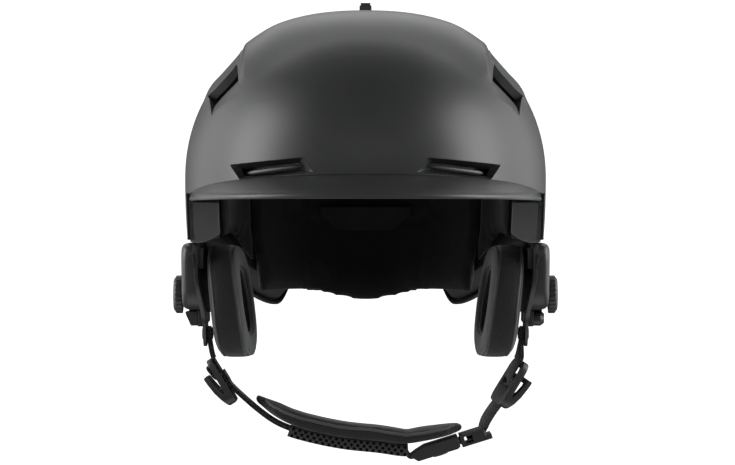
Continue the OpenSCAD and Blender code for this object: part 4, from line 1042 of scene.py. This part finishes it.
pod_line = [(EAR_Y + y, EAR_Z + z) for y, z in ((-37, 29.4), (37, 29.4), (28, -10.8), (-28, -10.8))]
pod = face_solid(rounded(pod_line, 12, 10), lambda z: np.full(np.shape(z), POD_X),
                 lambda z: plate_x(z) + 0.15, 4.5)
plate_line = [(EAR_Y + y, EAR_Z + z)
              for y, z in ((-39, 30), (39, 30), (35, 2), (20, -19), (-20, -19), (-35, 2))]
plate = face_solid(rounded(plate_line, 7, 6), plate_x, lambda z: plate_x(z) - PLATE_T)
tab_line = [(EAR_Y + y, EAR_Z + z) for y, z in ((-18, -14), (18, -14), (8, -33.4), (-8, -33.4))]
tab = face_solid(rounded(tab_line, 6, 6), lambda z: plate_x(z) - 0.05, lambda z: plate_x(z) - 1.8)
collar = box((98.0, EAR_Y - 9.5, -159.2), (101.2, EAR_Y + 9.5, -149.6))
lugs = [box((98.4, EAR_Y + y - 5.5, -113), (102.3, EAR_Y + y + 5.5, -90)) for y in (-27, 27)]
ledge = box((101.0, EAR_Y + 7, -151.0), (107.6, EAR_Y + 19, -148.2))
spacer = box((96.5, EAR_Y - 30, -124), (100.2, EAR_Y + 30, -111.5))
pod_body = solid("pod_body_left", merge([pod, ledge]), TRIM, replaces=("pod_cover_left",), slot="trim",
                 angle=45)
twin(pod_body, "trim", ("pod_cover_right",))
plate_body = solid("plate_body_left", merge([plate, tab, collar, spacer] + lugs), TRIM,
                   replaces=("ear_plate_left",), slot="trim")
eased(plate_body, TRIM, 0.5, 2)
twin(plate_body, "trim", ("ear_plate_right",))


# ----- hanging straps -----
PIVOT_X, PIVOT_Z = 99.33, EAR_Z - 25.5
RIVET = ((92.4, 3.0), (92.6, 3.6), (93.4, 3.6), (93.5, 2.0), (98.0, 2.0), (98.0, 4.3), (98.3, 4.3),
         (98.8, 3.7), (99.1, 2.4), (99.2, 0.8))  # place along X and radius
rivet = loft([[(x, EAR_Y + r * math.cos(t), PIVOT_Z + r * math.sin(t)) for t in around(32)]
              for x, r in RIVET])
for (_, tag), shape in zip(SIDES, both(rivet)):
    solid("rivet_body_" + tag, shape, STEEL, replaces=("rivet_" + tag,), slot="steel", angle=50)

DIVIDER_TOP, DIVIDER_LEAN = (PIVOT_X - 7.94, EAR_Y, PIVOT_Z - 18.2), math.radians(31.4)
LEFT_TWIST = 14  # degrees that the left divider and its webbing are turned
WEB_W, WEB_T = 16.0, 1.3


def on_divider(points, twist):
    """Points from a divider's own frame (outward, along Y, down its length) to their places."""
    p, t = np.asarray(points, float), math.radians(twist)
    out = np.array([math.cos(DIVIDER_LEAN), 0, -math.sin(DIVIDER_LEAN)])
    down = np.array([-math.sin(DIVIDER_LEAN), 0, -math.cos(DIVIDER_LEAN)])
    n = math.cos(t) * out + math.sin(t) * np.array([0, 1, 0])
    y = -math.sin(t) * out + math.cos(t) * np.array([0, 1, 0])
    top = np.array(DIVIDER_TOP) + np.array([0.04, 0, -0.07]) * twist
    return top + p[..., :1] * n + p[..., 1:2] * y + p[..., 2:3] * down


# Side outline of a divider: outward and down its length
DIVIDER = [(0, -3.0), (0.6, -3.8), (2.9, -3.7), (3.4, -3.0), (3.5, 4), (3.5, 12), (3.6, 17), (4.0, 18.6),
           (4.7, 18.0), (5.6, 14.5), (6.6, 9.5), (7.2, 5.4), (7.8, 4.5), (9.5, 4.4), (10.0, 5.2), (9.7, 9.5),
           (8.9, 15.5), (7.4, 21), (5.6, 25.6), (4.6, 26.6), (0.8, 26.6), (0, 25.8)]


def rect_prism(y0, y1, s0, s1, n0, n1, r):
    """Rounded rectangle of y and s, from n0 to n1 outward."""
    q = rounded([(y0, s0), (y1, s0), (y1, s1), (y0, s1)], r, 6)
    return loft([[(n, a, b) for a, b in q] for n in (n0, n1)])


def divider(tag, twist, side):
    """Moulded divider that joins the straps under an ear."""
    bars = loft([[(n, y, s) for n, s in DIVIDER] for y in np.linspace(-13, 13, 5)])
    ob = solid("divider_frame_" + tag, bars, TRIM, "chin_loop", replaces=("divider_" + tag,), slot="trim")
    boolean(ob, [rect_prism(-13, 13, -4.0, 27.0, -5, 15, 7)], "INTERSECT")
    webbing_holes = [rect_prism(-8.6, 8.6, 0.6, 15.2, -1, 4.6, 3),
                     rect_prism(-8.4, 8.4, 7.6, 15.4, 4.3, 12, 2)]
    boolean(ob, webbing_holes, "DIFFERENCE")
    bevel(ob, 0.55, 3, 38)
    bake(ob)
    p = on_divider(coords(ob) / MM, twist)
    p[:, 0] *= side
    move_to(ob, (p * MM).astype(np.float32).astype(float))
    if side < 0:
        ob.data.flip_normals()
    recalc(dress(ob, TRIM, None, angle=40))


divider("right", 0, -1)
divider("left", LEFT_TWIST, 1)


def hanger(tag, twist, side):
    """Short strap from the rivet through the divider and back over itself."""
    x = PIVOT_X - PLATE_T - 0.5 - WEB_T / 2
    near = ((-1.0, -5.5), (-0.9, -2), (-0.9, 2), (-0.9, 5.5), (-0.4, 8), (1.7, 9.4), (3.7, 8.8), (4.6, 7),
            (5.0, 4.6), (5.4, 2.2), (5.2, 0.2), (4.4, -0.4))  # outward and down the divider
    above = [[x, EAR_Y, PIVOT_Z + 4.2], [x - 0.2, EAR_Y, PIVOT_Z], [x - 0.7, EAR_Y, PIVOT_Z - 5]]
    pts = np.concatenate([above, on_divider([(n, 0, s) for n, s in near], twist)])
    path = spline(pts, 6)
    twists = [0, 0, 0] + [-twist * 0.8] + [-twist] * 11
    turns = np.interp(np.arange(len(path)), np.arange(len(pts)) * 6, twists)
    doubled = path[:22].copy()
    doubled[:, 0] -= 1.25
    strips = [band(path, WEB_W - 2, 1.2, turns), band(doubled, WEB_W - 2, 1.1, turns[:22])]
    if side < 0:
        strips = [(mirrored(*s[0]), s[1]) for s in strips]
    webbing("hanger_strap_" + tag, strips, "hanger_" + tag)


hanger("right", 0, -1)
hanger("left", LEFT_TWIST, 1)


# ----- chin strap, pad and sleeve -----
def hung(share, drop):
    """Place on the chin loop: a share of the way out to the pivot, and a drop below the ears' middle."""
    return np.array([share * PIVOT_X, EAR_Y, EAR_Z - drop])


BUCKLE_MID, BUCKLE_TILT = hung(0.5406, 91.7), math.radians(17.4)
BUCKLE_DIR = np.array([math.cos(BUCKLE_TILT), 0, math.sin(BUCKLE_TILT)])
ROUTE = [hung(*q) for q in ((-0.6543, 71.8), (-0.5235, 80.5), (-0.3624, 86), (-0.1409, 90.6), (0.0805, 93),
                            (0.2215, 95))]
PAD_END = [hung(*q) for q in ((0.302, 94.6), (0.453, 91.6), (0.5939, 87.6))]

start = on_divider([(-1.6, 0, 6), (-1.6, 0, 12), (-1.9, 0, 18)], 0) * (-1, 1, 1)
path = spline(np.concatenate([start, ROUTE, [BUCKLE_MID - BUCKLE_DIR * 28, BUCKLE_MID - BUCKLE_DIR * 22]]), 7)
normal = np.cross(unit(np.gradient(path, axis=0)), [0, 1, 0])
PLY_T, PLY_OUT = 1.1, 0.68  # the right strap's two plies: thickness, and place off its middle
plies = [band(path + normal * out, WEB_W, PLY_T) for out in (PLY_OUT, -PLY_OUT)]
webbing("chin_webbing_right", plies, "chin_strap_right")
pts = np.array([[92.2, 1, -188.5], [89.0, 1, -193.5], [84.0, 1, -200.5], [77.0, 1, -209.8], [73.2, 1, -215.8],
                [71.6, 1, -219.6], BUCKLE_MID + BUCKLE_DIR * 16.5 + [0, 0, 0.4], BUCKLE_MID + BUCKLE_DIR * 12,
                BUCKLE_MID + BUCKLE_DIR * 8])
twists = np.array([-1, -1.15, -1.3, -1.35, -1.35, -1.2, -0.6, 0, 0]) * LEFT_TWIST
turns = np.interp(np.arange(8 * 7 + 1) / 7, np.arange(9), twists)
webbing("chin_webbing_left", [band(spline(pts, 7), WEB_W - 1, WEB_T, turns)], "chin_strap_left")


def upward(line):
    """Normals of a strap's line in the XZ plane, on its upper side."""
    n = -np.cross(unit(np.gradient(line, axis=0)), [0, 1, 0])
    return n * np.sign(n[:, 2:3])


SLEEVE_WALL, CHIN_W, CHIN_T = 1.1, 34.0, 8.2
route = spline(ROUTE + PAD_END, 8)
normal = upward(route)
mid = route + normal * (WEB_T + SLEEVE_WALL + 0.3 + CHIN_T / 2)
first, last = mid[0] - unit(mid[1] - mid[0]) * 6.0, mid[-1] + unit(mid[-1] - mid[-2]) * 2.5
mid = np.concatenate([[first], mid[1:-1], [last]])
share = np.linspace(-1, 1, len(mid))
taper = (1 - np.abs(share) ** 14 * 0.7) ** 0.8


def chin_ring(i):
    """Section of the chin pad, left thinner than the pad for its swelling."""
    w = power(np.cos(around(28)), 0.5) * (CHIN_W / 2 - 1.2) * taper[i]
    t = power(np.sin(around(28)), 0.5) * (CHIN_T / 2 - 0.9) * mix(1, taper[i], 0.5)
    return mid[i] + w[:, None] * np.array([0, 1, 0]) + t[:, None] * normal[i]


chin_shape = loft([chin_ring(i) for i in range(len(mid))])
chin = cushion("chin_cushion", chin_shape, "chin_pad", 2.6, 1.4, "chin_loop")
edge = [mid[i] + np.array([0, y, 0]) * (CHIN_W / 2 + 3) * taper[i] + normal[i] * 7 * taper[i]
        for y, order in ((-1, 1), (1, -1)) for i in range(0, len(mid), 2)[::order]]
binding = tube(calm(nearest(chin, spline(edge, 3, True)), 12), 0.85, True, 10)
solid("chin_binding", binding, PIPING, "chin_loop", slot="pad_fabric")

HOLE_STEP, SLEEVE_HOLE_R = 3.8, 1.1
part = spline(ROUTE + PAD_END[:1], 12)
part = part[(part[:, 0] > -46) & (part[:, 0] < 26)]
normal = upward(part)


def sleeve_grid(w, up, down, r):
    """Rounded rectangles along the sleeve's part of the strap."""
    q = rounded([(-w, -down), (w, -down), (w, up), (-w, up)], r, 5)
    return np.array([[c + np.array([0, a, 0]) + n * b for a, b in q] for c, n in zip(part, normal)])


walls = slab(sleeve_grid(10.5, 2.6, 4.6, 2.0), sleeve_grid(9.4, 1.7, 3.6, 1.4), True)
sleeve = solid("strap_sleeve", walls, SLEEVE, "chin_loop", replaces=("pad_sleeve",), slot="trim")
run, holes = lengths(part), []
for row, height in enumerate((-3.3, -1.2, 0.9)):
    for along in np.arange(2.4 + HOLE_STEP / 2 * (row % 2), run[-1] - 1.8, HOLE_STEP):
        c = np.array([np.interp(along, run, part[:, k]) for k in range(3)])
        n = np.array([np.interp(along, run, normal[:, k]) for k in range(3)])
        ends = [c + n * height + [0, y, 0] for y in (-15.0, 15.0)]
        holes.append(tube(ends, SLEEVE_HOLE_R, k=8, up=(1, 0, 0)))
boolean(sleeve, [merge(holes)], "DIFFERENCE")
dress(sleeve, SLEEVE, None, angle=35)
solid("sleeve_lining", loft(sleeve_grid(9.3, 1.6, 3.5, 1.3)), LINING, "chin_loop", slot="trim")

label = pad_solid(np.linspace(163, 197, 35), lambda a: -16.0,
                  lambda a: mix(-31, -22, float(ease(0.55, 1, abs(a - 180) / 17))),
                  PAD_IN + 0.5, PAD_IN + 1.4, 6)
solid("inner_label", label, RUBBER, replaces=("inner_patch",), slot="label", angle=50)

for node in ("vent_slider", "goggle_clip_base", "goggle_clip_flap", "fit_dial", "dial_left", "dial_right",
             "button_left", "button_right", "buckle_socket", "buckle_plug", "buckle_latch", "fit_housing"):
    soften(node)
